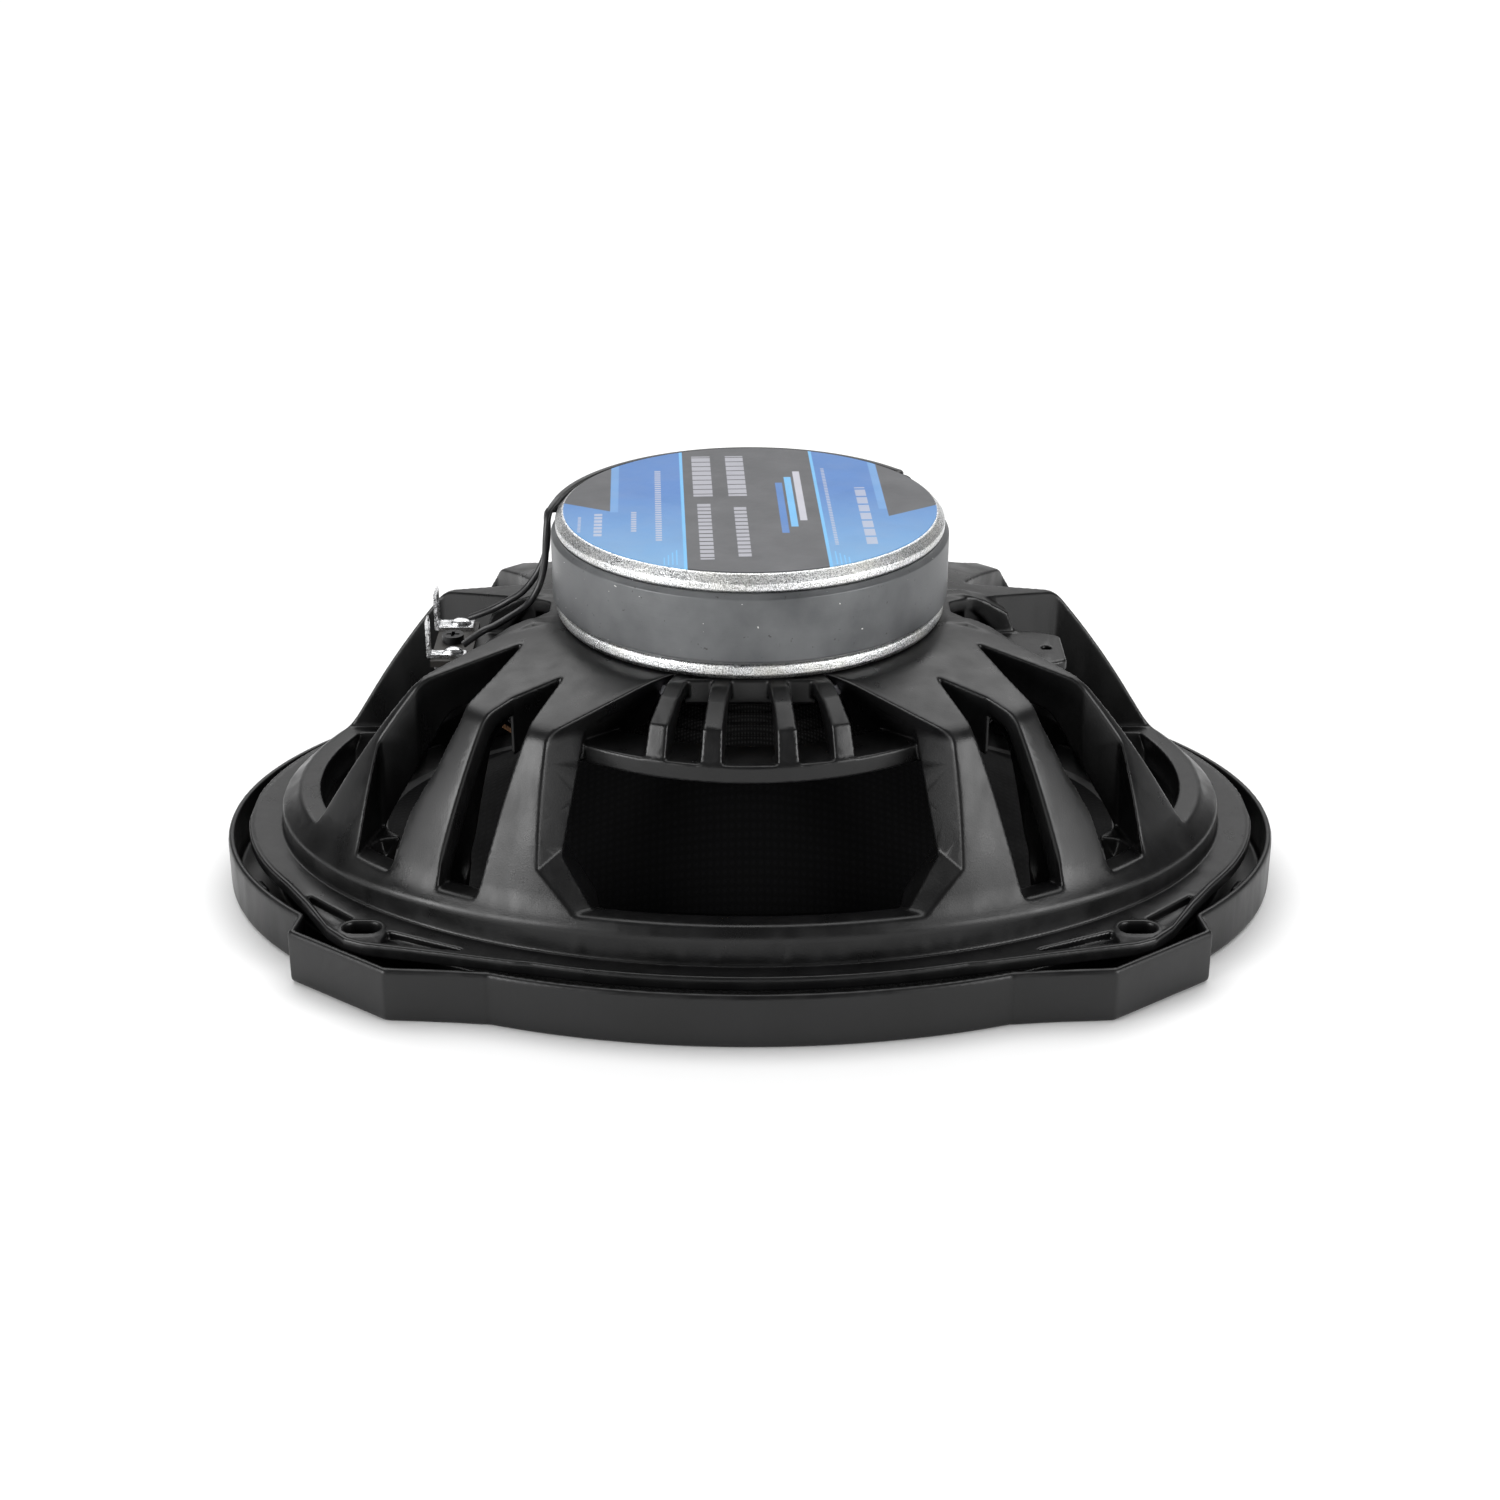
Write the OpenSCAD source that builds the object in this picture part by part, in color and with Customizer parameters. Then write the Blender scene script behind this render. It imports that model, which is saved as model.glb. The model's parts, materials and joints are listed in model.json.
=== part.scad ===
// Coaxial car speaker, oval 6 x 9 inch class, lying on its front face with the magnet up.
// Origin: centre of the four mounting slots, in the plane of the flange's rear face.
// +Z points to the rear (magnet) side and +X runs along the long axis.

/* [Mounting] */
// Distance between slot centres along X
slot_spacing_x = 168; // [164:0.5:170]
// Distance between slot centres along Y
slot_spacing_y = 120; // [116:0.5:122]
// Width of a mounting slot
slot_w = 5; // [4:0.1:5.5]
// End to end length of a mounting slot
slot_len = 8; // [6:0.1:9]
// Thickness of the flange
flange_t = 3; // [2.5:0.1:3.5]

/* [Basket] */
// Long semi-axis of the flange
flange_a = 118.3; // [117:0.1:119]
// Short semi-axis of the flange
flange_b = 82.3; // [81:0.1:83]
// Long semi-axis of the cone body where it meets the flange
foot_a = 109.5; // [108:0.1:111]
// Short semi-axis of the cone body where it meets the flange
foot_b = 76.8; // [76:0.1:78]
// Long semi-axis of the body at its knee
knee_a = 80.4; // [78:0.1:82]
// Short semi-axis of the body at its knee
knee_b = 65.8; // [64:0.1:67]
// Height of the knee
knee_z = 44.5; // [43:0.1:45.5]
// Radius of the magnet platform
platform_r = 46; // [45:0.1:47]
// Height of the platform's top
platform_z = 51.5; // [51:0.1:52]
// Outer radius of the ring shelf that the spider is glued to
shelf_r = 61; // [60:0.1:62]

/* [Motor] */
// Radius of the magnet
magnet_r = 45; // [44:0.1:46]
// Thickness of the magnet
magnet_t = 16.2; // [15:0.1:17]
// Radius of the front plate
front_plate_r = 43.5; // [42:0.1:44]
// Thickness of the front plate
front_plate_t = 3.5; // [3:0.1:4]
// Thickness of the back plate
back_plate_t = 4; // [3.5:0.1:4.5]
// Radius of the pole
pole_r = 14.7; // [14.5:0.1:14.8]
// Inner radius of the voice coil former
coil_r = 15.2; // [15.1:0.05:15.3]

/* [Trim ring] */
// Long semi-axis of the trim ring
trim_a = 123.3; // [122.5:0.1:124]
// Short semi-axis of the trim ring
trim_b = 86.4; // [86:0.1:87]
// Height of the trim ring's rim
trim_top = -1.5; // [-2:0.1:-1]
// Height of the front face that the speaker rests on
front_z = -14.6; // [-15:0.1:-14.2]

/* [Cone] */
// Long semi-axis of the cone's outer edge
cone_a = 86; // [84:0.1:87]
// Short semi-axis of the cone's outer edge
cone_b = 54; // [52:0.1:55]
// Height of the cone's neck
neck_z = 30; // [29:0.1:30.5]

/* [Hidden] */

OVAL_SIDES = 72;
ROUND = 64;
MESH_T = 0.8;

front_plate_z = platform_z;
magnet_z = front_plate_z + front_plate_t;
back_plate_z = magnet_z + magnet_t;
rear_z = back_plate_z + back_plate_t;
shelf_top = 39;
shelf_t = 4.2;
shelf_inner_r = 50;
clamp_r = 44.6;
wall = 4;
frame_depth = 10;
window_sill = 9;
end_half_w = 26.5;
ledge_a = 101;
ledge_b = 68;
mid_x = -27;
tweeter_x = 22;
bridge_z = -1;
bridge_t = 2.5;
coil_t = 0.25;
board_z = 41;
terminal_y = 8.8;
wire_r = 0.8;

// Points of an ellipse
function oval(a, b, n = OVAL_SIDES) = [for (i = [0:n - 1]) [a * cos(i * 360 / n), b * sin(i * 360 / n)]];

// Points of one quarter outline, mirrored about both axes to a whole loop
function four_way(q) = concat(q, [for (i = [len(q) - 1:-1:0]) [-q[i][0], q[i][1]]],
    [for (p = q) [-p[0], -p[1]]], [for (i = [len(q) - 1:-1:0]) [q[i][0], -q[i][1]]]);

// Flat plate with an oval outline
module oval_plate(a, b, z0, z1) {
    translate([0, 0, z0]) linear_extrude(z1 - z0) polygon(oval(a, b));
}

// Flat ring between two ovals
module oval_ring(a, b, inner_a, inner_b, z0, z1) {
    difference() {
        oval_plate(a, b, z0, z1);
        oval_plate(inner_a, inner_b, z0 - 1, z1 + 1);
    }
}

// Closed solid through a stack of ovals, each [a, b, z], from the lowest to the highest
module oval_loft(rings, n = OVAL_SIDES) {
    last = len(rings) - 1;
    pts = [for (r = rings) for (i = [0:n - 1]) [r[0] * cos(i * 360 / n), r[1] * sin(i * 360 / n), r[2]]];
    sides = [for (k = [0:last - 1]) for (i = [0:n - 1]) let (j = (i + 1) % n)
        each [[k * n + i, (k + 1) * n + i, k * n + j], [k * n + j, (k + 1) * n + i, (k + 1) * n + j]]];
    polyhedron(pts, concat(sides, [[for (i = [0:n - 1]) i]], [[for (i = [n - 1:-1:0]) last * n + i]]));
}

// Closed ring whose cross-section is a loop of [a, b, z] points
module oval_shell(loop, n = OVAL_SIDES) {
    m = len(loop);
    pts = [for (i = [0:n - 1]) for (r = loop) [r[0] * cos(i * 360 / n), r[1] * sin(i * 360 / n), r[2]]];
    polyhedron(pts, [for (i = [0:n - 1]) for (k = [0:m - 1])
        let (j = (i + 1) % n, l = (k + 1) % m)
        each [[i * m + k, i * m + l, j * m + k], [j * m + k, i * m + l, j * m + l]]]);
}

// Round tube between two heights
module tube(r, inner_r, z0, z1) {
    translate([0, 0, z0]) difference() {
        cylinder(r = r, h = z1 - z0, $fn = ROUND);
        translate([0, 0, -1]) cylinder(r = inner_r, h = z1 - z0 + 2, $fn = ROUND);
    }
}

// The same thing in all four quarters
module four_quarters() {
    for (sx = [0, 1]) for (sy = [0, 1]) mirror([sx, 0, 0]) mirror([0, sy, 0]) children();
}

// Round wire swept along a list of points
module wire(route, r, sides = 8) {
    m = len(route) - 1;
    dirs = [for (i = [0:m]) let (d = route[min(i + 1, m)] - route[max(i - 1, 0)]) d / norm(d)];
    pts = [for (i = [0:m])
        let (side = cross(dirs[i], [0.12, 0.21, 0.97]), u = side / norm(side), v = cross(u, dirs[i]))
        for (k = [0:sides - 1]) route[i] + r * (cos(k * 360 / sides) * u + sin(k * 360 / sides) * v)];
    faces = [for (i = [0:m - 1]) for (k = [0:sides - 1]) let (l = (k + 1) % sides)
        each [[i * sides + k, i * sides + l, (i + 1) * sides + k],
            [(i + 1) * sides + k, i * sides + l, (i + 1) * sides + l]]];
    ends = [[for (k = [sides - 1:-1:0]) k], [for (k = [0:sides - 1]) m * sides + k]];
    polyhedron(pts, concat(faces, ends));
}

// ---- Basket ----

body_rings = [[foot_a + 1, foot_b + 0.5, -flange_t / 2], [foot_a, foot_b, 2], [90.3, 69.8, 33],
    [knee_a, knee_b, knee_z], [platform_r, platform_r, platform_z]];

// The body's outer form, moved inwards by some depth
module body_form(depth) {
    drop = depth * 0.9;
    oval_loft([for (r = body_rings) [r[0] - depth, r[1] - depth, r[2] - drop]]);
}

// Opening in each long side: two radial walls in plan, cut corners in elevation
module side_window() {
    intersection() {
        rotate([90, 0, 0]) linear_extrude(100)
            polygon([[-20, 53], [-44.5, 43], [-60, 43], [-60, 32], [-37.3, window_sill],
                [37.3, window_sill], [60, 32], [60, 43], [44.5, 43], [20, 53]]);
        linear_extrude(60) polygon([[-27, -40], [-67.5, -100], [67.5, -100], [27, -40]]);
    }
}

// Opening in each end, narrowing towards the platform
module end_window() {
    translate([0, 0, window_sill]) linear_extrude(60)
        polygon([[46, -3], [73.6, -end_half_w], [120, -end_half_w], [120, end_half_w],
            [73.6, end_half_w], [46, 3]]);
}

// The two slots of one quarter
module quarter_slots() {
    translate([0, 0, window_sill]) linear_extrude(60) {
        polygon([[40.4, 36.5], [51.2, 41.5], [66.4, 55.5], [68, 59.5], [61, 64], [54.6, 59], [47.4, 53]]);
        polygon([[50.5, 18.5], [73.7, 28.5], [82.3, 29.5], [87, 43], [80, 50.5], [74.1, 46.5],
            [68, 45.5], [62.3, 43], [56, 31]]);
    }
}

// Wall bands around every opening, deeper than the body's skin
module opening_frames() {
    linear_extrude(60) difference() {
        union() {
            four_quarters() {
                polygon([[13, 37], [18, 40], [36.5, 51], [47, 68], [55, 78], [62, 78], [62, 64],
                    [46.5, 50], [40, 42], [26, 34]]);
                polygon([[37, 32], [50, 35], [52, 42], [40, 40]]);
                polygon([[48, 12], [49, 20], [74, 31.5], [92, 34], [110, 34], [110, 22], [76, 24.5],
                    [50, 4]]);
                polygon([[53, 30], [60, 45], [84, 66], [92, 58], [72, 43], [58, 28]]);
            }
        }
        circle(r = 30, $fn = ROUND);
    }
}

// Kneed rib along X, from under the platform's edge to the shelf
module rib(longer) {
    rotate([90, 0, 0]) translate([0, 0, -2.4]) linear_extrude(4.8)
        polygon([[42, platform_z - 3], [42, platform_z], [46, platform_z], [52 + longer, 49.5],
            [58 + longer, 45.7], [61 + longer, shelf_top - 1], [57 + longer, shelf_top - 1],
            [52 + longer, 45], [49 + longer, platform_z - 3]]);
}

// Outline of a mounting ear, beyond the oval flange
module ears_2d() {
    four_quarters() polygon([[112, 19], [108.6, 30.5], [103.6, 40], [98, 49], [91.8, 60.2], [87.3, 65.3],
        [83.3, 67.3], [72, 69.9], [59, 73], [50, 75.2], [45, 60], [90, 19]]);
}

// Blind pockets either side of a mounting slot
module ear_pockets() {
    four_quarters() translate([0, 0, -2]) linear_extrude(3) {
        polygon([[99, 43.5], [91.2, 59.2], [88.8, 55.5]]);
        polygon([[78.2, 61.6], [79, 66.2], [61, 69.6]]);
    }
}

// One slotted screw hole, long way along X
module slot_hole() {
    travel = slot_len - slot_w;
    for (s = [-1, 1]) translate([s * travel / 2, 0, -flange_t - 1])
        cylinder(d = slot_w, h = flange_t + 4, $fn = 32);
    translate([-travel / 2, -slot_w / 2, -flange_t - 1]) cube([travel, slot_w, flange_t + 4]);
}

// Oblong tab on the shelf at each end, drilled for the terminal screw
module terminal_tab() {
    difference() {
        translate([0, 0, board_z - 3]) linear_extrude(3)
            polygon([[56, -10.5], [66, -10.5], [72.5, -7.5], [72.5, 7.5], [66, 10.5], [56, 10.5]]);
        translate([68.5, 0, board_z - 4]) cylinder(d = 2.2, h = 5, $fn = 24);
    }
}

module basket() color("#1c1c1e") difference() {
    union() {
        difference() {
            intersection() {
                body_form(0);
                union() {
                    difference() {
                        translate([0, 0, -1]) cylinder(r = 130, h = 60, $fn = ROUND);
                        body_form(wall);
                    }
                    difference() {
                        opening_frames();
                        body_form(frame_depth);
                    }
                }
            }
            for (a = [0, 180]) rotate([0, 0, a]) side_window();
            for (a = [0, 180]) rotate([0, 0, a]) end_window();
            four_quarters() quarter_slots();
        }
        tube(shelf_r, shelf_inner_r, shelf_top - shelf_t, shelf_top);
        intersection() {
            body_form(0);
            union() {
                for (a = [-90, 90]) for (turn = [-19.5, -7.8, 7.8, 19.5]) rotate([0, 0, a + turn]) rib(0);
                for (a = [0, 180]) for (turn = [-10.5, 10.5]) rotate([0, 0, a + turn]) rib(3);
            }
        }
        for (a = [0, 180]) rotate([0, 0, a]) terminal_tab();
        difference() {
            translate([0, 0, -flange_t]) linear_extrude(flange_t) union() {
                polygon(oval(flange_a, flange_b));
                ears_2d();
            }
            oval_plate(ledge_a, ledge_b, -flange_t - 1, 1);
            ear_pockets();
        }
    }
    for (sx = [-1, 1]) for (sy = [-1, 1])
        translate([sx * slot_spacing_x / 2, sy * slot_spacing_y / 2, 0]) slot_hole();
    rivet_places() translate([0, 0, 40]) cylinder(d = 4, h = 20, $fn = 24);
    rotate([0, 0, 22.5]) translate([0, 0, 30]) cylinder(r = clamp_r, h = platform_z - 33, $fn = 8);
    translate([0, 0, 40]) cylinder(r = 21, h = 20, $fn = ROUND);
}

// Places of the rivets that clamp the platform between the steel plates
module rivet_places() {
    for (a = [45:90:315]) rotate([0, 0, a]) translate([34, 0, 0]) children();
}

// ---- Trim ring and grille ----

// Outer outline of the trim ring with its four corner lobes, inset by some amount
module trim_2d(inset) {
    polygon(oval(trim_a - inset, trim_b - inset));
    four_quarters() polygon([[90, 30], [99.5 - inset, 49], [100.8 - inset, 58.2 - inset],
        [77.8 - inset * 0.7, 75.4 - inset], [64.5 - inset * 0.2, 76.3 - inset], [56, 77.2 - inset],
        [40, 60]]);
}

module grille_frame() color("#222225") {
    difference() {
        translate([0, 0, front_z]) linear_extrude(trim_top - front_z) trim_2d(0);
        translate([0, 0, front_z + 2]) linear_extrude(20) trim_2d(1.6);
        oval_plate(108, 74, front_z - 1, front_z + 3);
    }
    oval_ring(112, 78, 109.5, 75.5, front_z + 2, -flange_t - 4);
}

module grille_mesh() color("#2a2a2c") oval_plate(109, 75, front_z + 2, front_z + 2 + MESH_T);

module grille_badge() color("#8a8d92") oval_ring(15, 8, 12.5, 5.5, front_z + 0.8, front_z + 2);

module front_gasket() color("#303032")
    oval_ring(112, 78, 104, 71, -flange_t - 4, -flange_t - 0.6);

// ---- Moving assembly of the woofer ----

surround_z = -flange_t;
neck_r = coil_r + coil_t + 0.05;

module surround() color("#161617") oval_shell([
    [108, 75, surround_z], [108, 75, surround_z - 0.6], [100, 67, surround_z - 0.6],
    [98, 65, surround_z - 3.5], [94.5, 61.5, surround_z - 5.5], [91, 58, surround_z - 3.5],
    [89, 56.5, surround_z - 0.6], [82, 50, surround_z - 0.6], [82, 50, surround_z],
    [89.8, 57.3, surround_z], [91.8, 58.8, surround_z - 3], [94.5, 61.5, surround_z - 4.7],
    [97.2, 64.2, surround_z - 3], [99.3, 66.4, surround_z]]);

module woofer_cone() color("#3a3d45") oval_shell([
    [cone_a, cone_b, surround_z], [cone_a - 4.5, cone_b - 4.5, surround_z],
    [neck_r + 0.6, neck_r + 0.6, neck_z - 1.2], [neck_r, neck_r, neck_z - 1.2], [neck_r, neck_r, neck_z],
    [neck_r + 1.2, neck_r + 1.2, neck_z], [cone_a - 4, cone_b - 4, surround_z + 1]]);

spider_z = shelf_top - shelf_t;

spider_waves = 5;
spider_flat_r = 51;
spider_steps = spider_waves * 4;

// Point of the spider's corrugated face at one step from its inner to its outer edge
function ripple(i) = [coil_r + coil_t + 2 + (spider_flat_r - coil_r - coil_t - 2) * i / spider_steps,
    spider_z - 1.6 + 1.2 * sin(i * 90)];

// Corrugated suspension disc, glued under the shelf and round the former
module spider() color("#232326") rotate_extrude($fn = ROUND) polygon(concat(
    [[coil_r + coil_t + 0.05, spider_z - 1.6]], [for (i = [0:spider_steps]) ripple(i)],
    [[spider_flat_r, spider_z], [59, spider_z], [59, spider_z - 0.5],
        [spider_flat_r + 0.5, spider_z - 0.5]],
    [for (i = [spider_steps:-1:0]) ripple(i) - [0, 0.5]], [[coil_r + coil_t + 0.05, spider_z - 2.1]]));

module voice_coil_former() color("#b98d4f") tube(coil_r + coil_t, coil_r, neck_z - 4, 57.5);

module voice_coil_winding() color("#b4562b") tube(coil_r + coil_t + 0.4, coil_r + coil_t, 49, 57);

// ---- Motor ----

module clamp_plate() color("#777a7e") difference() {
    rotate([0, 0, 22.5]) translate([0, 0, platform_z - 5.5]) cylinder(r = clamp_r, h = 2.5, $fn = 8);
    translate([0, 0, 40]) cylinder(r = 20, h = 20, $fn = ROUND);
    rivet_places() translate([0, 0, 40]) cylinder(d = 4, h = 20, $fn = 24);
}

module platform_rivets() color("#8d9095") rivet_places() {
    translate([0, 0, platform_z - 5.5]) cylinder(d = 4, h = 5.5, $fn = 24);
    translate([0, 0, platform_z - 7]) cylinder(d = 7, h = 1.5, $fn = 24);
}

module front_plate() color("#c9ccd0") tube(front_plate_r, coil_r + 1.2, front_plate_z, magnet_z);

module magnet() color("#4d5054") tube(magnet_r, 24, magnet_z, back_plate_z);

module back_plate() color("#d2d4d6") {
    difference() {
        rotate_extrude($fn = ROUND) polygon([[3, back_plate_z], [magnet_r - 1.6, back_plate_z],
            [magnet_r - 1, back_plate_z + 0.8], [magnet_r - 1, rear_z - 2],
            [magnet_r - 2.2, rear_z], [3, rear_z]]);
        rotate([0, 0, channel_angle]) translate([0, -2, rear_z - 2]) cube([60, 4, 3]);
        rotate([0, 0, channel_angle]) translate([42.6, -3.2, back_plate_z - 1]) cube([10, 6.4, 8]);
    }
    tube(pole_r, 3, front_plate_z - 0.5, back_plate_z);
}

module rear_label() color("#3f7fc4") translate([0, 0, rear_z]) cylinder(r = 42.1, h = 0.2, $fn = ROUND);

// ---- Midrange and tweeter assembly ----

bridge_front = bridge_z;
bridge_rear = bridge_z + bridge_t;
mid_r = 22;
tweeter_r = 14;
cup_wall = 1.5;
cup_front = -9.5;
mid_magnet_r = 11;
tweeter_magnet_r = 9;
pole_face = front_plate_z - 0.5;

// Hollow post that carries the two small drivers, screwed into the pole
module pole_post() color("#c0c3c7") {
    tube(5, 2, bridge_rear, pole_face);
    tube(3, 2, pole_face, pole_face + 12);
}

module driver_bridge() color("#1f1f22") {
    difference() {
        union() {
            translate([mid_x, 0, bridge_front]) cylinder(r = mid_r, h = bridge_t, $fn = ROUND);
            translate([tweeter_x, 0, bridge_front]) cylinder(r = tweeter_r, h = bridge_t, $fn = ROUND);
            translate([mid_x, -12, bridge_front]) cube([tweeter_x - mid_x, 24, bridge_t]);
        }
        translate([mid_x, 0, -5]) cylinder(r = mid_magnet_r, h = 20, $fn = ROUND);
        translate([tweeter_x, 0, -5]) cylinder(r = tweeter_magnet_r, h = 20, $fn = ROUND);
        translate([0, 0, -5]) cylinder(r = 2, h = 20, $fn = 32);
        bridge_screw_places() cylinder(r = 0.8, h = 10, $fn = 24, center = true);
    }
    translate([mid_x, 0, 0]) tube(mid_r, mid_r - cup_wall, cup_front, bridge_front);
    translate([tweeter_x, 0, 0]) tube(tweeter_r, tweeter_r - cup_wall, cup_front, bridge_front);
}

module bridge_screw_places() {
    for (s = [-1, 1]) translate([0, s * 3.6, 0]) children();
}

module bridge_screws() color("#9a9da1") bridge_screw_places() {
    translate([0, 0, bridge_front]) cylinder(r = 0.8, h = bridge_t, $fn = 24);
    translate([0, 0, bridge_front - 1]) cylinder(r = 1.5, h = 1, $fn = 24);
}

module midrange_frame() color("#2b2b2e") translate([mid_x, 0, 0]) rotate_extrude($fn = ROUND) polygon([
    [17.5, cup_front + 0.8], [20.5, cup_front + 0.8], [20.5, cup_front + 2], [17.5, cup_front + 2.5],
    [12, bridge_front - 0.6], [12, bridge_front], [6.2, bridge_front], [6.2, bridge_front - 0.6],
    [11, bridge_front - 0.6]]);

module midrange_magnet() color("#5a5d61") translate([mid_x, 0, bridge_front])
    tube(mid_magnet_r, 6.2, 0, 7.5);

module midrange_cone() color("#45484f") translate([mid_x, 0, 0]) rotate_extrude($fn = ROUND) polygon([
    [14.8, cup_front + 1.6], [15.6, cup_front + 1.6], [5.6, bridge_front - 2.6], [5.6, bridge_front + 3],
    [5.2, bridge_front + 3], [5.2, bridge_front - 3.4]]);

module midrange_surround() color("#19191b") translate([mid_x, 0, 0]) rotate_extrude($fn = ROUND) polygon([
    [14.9, cup_front + 1.2], [16, cup_front + 1.1], [17, cup_front + 0.2], [18, cup_front + 0.1],
    [19, cup_front + 0.4], [20.5, cup_front + 0.4], [20.5, cup_front + 0.8], [17.5, cup_front + 0.8],
    [16.6, cup_front + 1.1], [16.1, cup_front + 1.6], [14.9, cup_front + 1.6]]);

module midrange_dust_cap() color("#8b8e93") translate([mid_x, 0, 0]) rotate_extrude($fn = ROUND) polygon([
    [0, bridge_front - 6], [2.5, bridge_front - 5.7], [5, bridge_front - 4.6], [5.8, bridge_front - 3.9],
    [5.2, bridge_front - 3.5], [2.5, bridge_front - 5.2], [0, bridge_front - 5.5]]);

module tweeter_housing() color("#232326") translate([tweeter_x, 0, 0]) rotate_extrude($fn = ROUND) polygon([
    [12.5, cup_front], [12.5, cup_front + 4.5], [7.4, cup_front + 4.5], [7.4, cup_front + 3.2],
    [10.5, cup_front]]);

module tweeter_magnet() color("#6a6d72") translate([tweeter_x, 0, 0]) rotate_extrude($fn = ROUND) polygon([
    [0, cup_front + 8], [5, cup_front + 8], [5, cup_front + 5], [6.4, cup_front + 5], [6.4, cup_front + 9],
    [7, cup_front + 9], [7, cup_front + 4.5], [9, cup_front + 4.5], [9, bridge_rear + 1.5],
    [0, bridge_rear + 1.5]]);

module tweeter_coil() color("#b4562b") translate([tweeter_x, 0, 0])
    tube(6.8, 6.5, cup_front + 4, cup_front + 6.5);

module tweeter_dome() color("#b9bcc1") translate([tweeter_x, 0, 0]) rotate_extrude($fn = ROUND) polygon([
    [0, cup_front + 1.2], [3, cup_front + 1.6], [5.4, cup_front + 2.8], [6.5, cup_front + 4],
    [6.2, cup_front + 4], [5.1, cup_front + 3.1], [2.8, cup_front + 2], [0, cup_front + 1.6]]);

module tweeter_ring() color("#9fa2a7") translate([tweeter_x, 0, 0])
    tube(12.5, 10.6, cup_front - 0.8, cup_front);

cap_r = 3;

// Capacitor lying on the rear of the bridge
module capacitor(y) {
    translate([-3, y, bridge_rear + cap_r]) rotate([0, 90, 0]) cylinder(r = cap_r, h = 12, $fn = 32);
}

module midrange_capacitor() color("#2b4f8f") capacitor(8.8);

module tweeter_capacitor() color("#2c2c30") capacitor(-8.8);

// ---- Terminals and leads ----

board_t = 1.5;
base_t = 0.8;
solder_x = -67.5;

module terminal_board() color("#5b4a2e") difference() {
    translate([-72.5, -12, board_z]) cube([9, 24, board_t]);
    translate([-68.5, 0, board_z - 1]) cylinder(d = 2.2, h = 5, $fn = 24);
}

// Bent terminal: a foot on the board and an upright blade
module terminal(y, width) {
    translate([-73.5, y - width / 2, board_z + board_t]) cube([9, width, base_t]);
    translate([-73.5, y - width / 2, board_z + board_t + base_t]) cube([base_t, width, 8.5]);
}

module positive_terminal() color("#d5d8da") terminal(terminal_y, 4.8);

module negative_terminal() color("#d5d8da") terminal(-terminal_y, 2.8);

module terminal_screw() color("#26262a") translate([-68.5, 0, board_z - 4]) {
    cylinder(d = 2.2, h = 4 + board_t, $fn = 24);
    translate([0, 0, 4 + board_t]) difference() {
        cylinder(d = 5, h = 1.8, $fn = 32);
        for (a = [0, 90]) rotate([0, 0, a]) translate([-1.5, -0.4, 1]) cube([3, 0.8, 1]);
    }
}

module solder_joints() color("#e3e5e6") for (s = [-1, 1])
    translate([solder_x, s * terminal_y, board_z + board_t + base_t]) difference() {
        sphere(r = 1.9, $fn = 32);
        translate([-3, -3, -4]) cube([6, 6, 4]);
    }

// Both feed leads rise beside the magnet and run round its far side in the groove under the
// back plate's edge. They cross the back plate in a channel under the label and go down the pole.
groove_r = magnet_r - 1 + wire_r + 0.1;
channel_angle = 35;
channel_z = rear_z - wire_r - 0.2;
pole_end_z = bridge_rear + 0.5;

// Point beside the channel's centre line: distance from the axis, side step and height
function by_channel(r, side, z) = [r * cos(channel_angle) - side * sin(channel_angle),
    r * sin(channel_angle) + side * cos(channel_angle), z];

function around(z, last) = [for (a = [170:-5:last]) [groove_r * cos(a), groove_r * sin(a), z]];

function across(side) = [for (r = [40:-4:8]) by_channel(r, side, channel_z)];

function down_the_pole(side) = concat(
    [by_channel(4.4, side, channel_z), by_channel(2.4, side, channel_z - 0.1),
        by_channel(1.3, side * 0.95, channel_z - 1), by_channel(1, side * 0.9, channel_z - 2.4)],
    [for (z = [channel_z - 6:-8:pole_end_z]) by_channel(0, side * 0.9, z)]);

lead_positive_rise = [[-65.3, 8.4, 45], [-61.6, 6.8, 47], [-58.7, 5.4, 48.8], [-55.7, 4.7, 50.8],
    [-52.9, 4.6, 52.6], [-50.6, 5, 55], [-48.4, 5.5, 58.4], [-46.9, 5.8, 62.4], [-46.4, 6.1, 67],
    [-46.2, 6.6, 71.6]];
lead_negative_rise = [[-65.3, -8.4, 45], [-61.1, -6.3, 47.4], [-58.5, -4.4, 48], [-55.2, -2, 49.2],
    [-51.4, 0, 51.2], [-49.2, 1, 54], [-47.7, 1.5, 57.5], [-46.8, 1.8, 62], [-46.4, 2.2, 67.5],
    [-45.8, 4, 72.2]];
lead_positive_turn = [by_channel(44.9, -0.6, back_plate_z + 1), by_channel(44.5, -1.2, back_plate_z + 2),
    by_channel(42.6, -1, channel_z)];
lead_negative_turn = [by_channel(44.6, 2, channel_z - 0.2), by_channel(42.6, 1, channel_z)];

module lead_positive() color("#17171a") wire(concat(lead_positive_rise,
    around(back_plate_z + 0.9, channel_angle), lead_positive_turn, across(-1),
    down_the_pole(-1)), wire_r);

module lead_negative() color("#17171a") wire(concat(lead_negative_rise,
    around(back_plate_z + 2.7, channel_angle + 5), lead_negative_turn, across(1),
    down_the_pole(1)), wire_r);

module tinsel_leads() color("#a86f3c") for (s = [-1, 1])
    wire([[-64, s * 6, 37.6], [-64, s * 6, 34], [-62.6, s * 6, 30], [-59.6, s * 6, 26], [-56, s * 6, 23],
        [-52, s * 6, 21], [-48.6, s * 6, 19.4], [-46.8, s * 6, 17.4], [-46.2, s * 6, 15.6]], 0.6);

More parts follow.
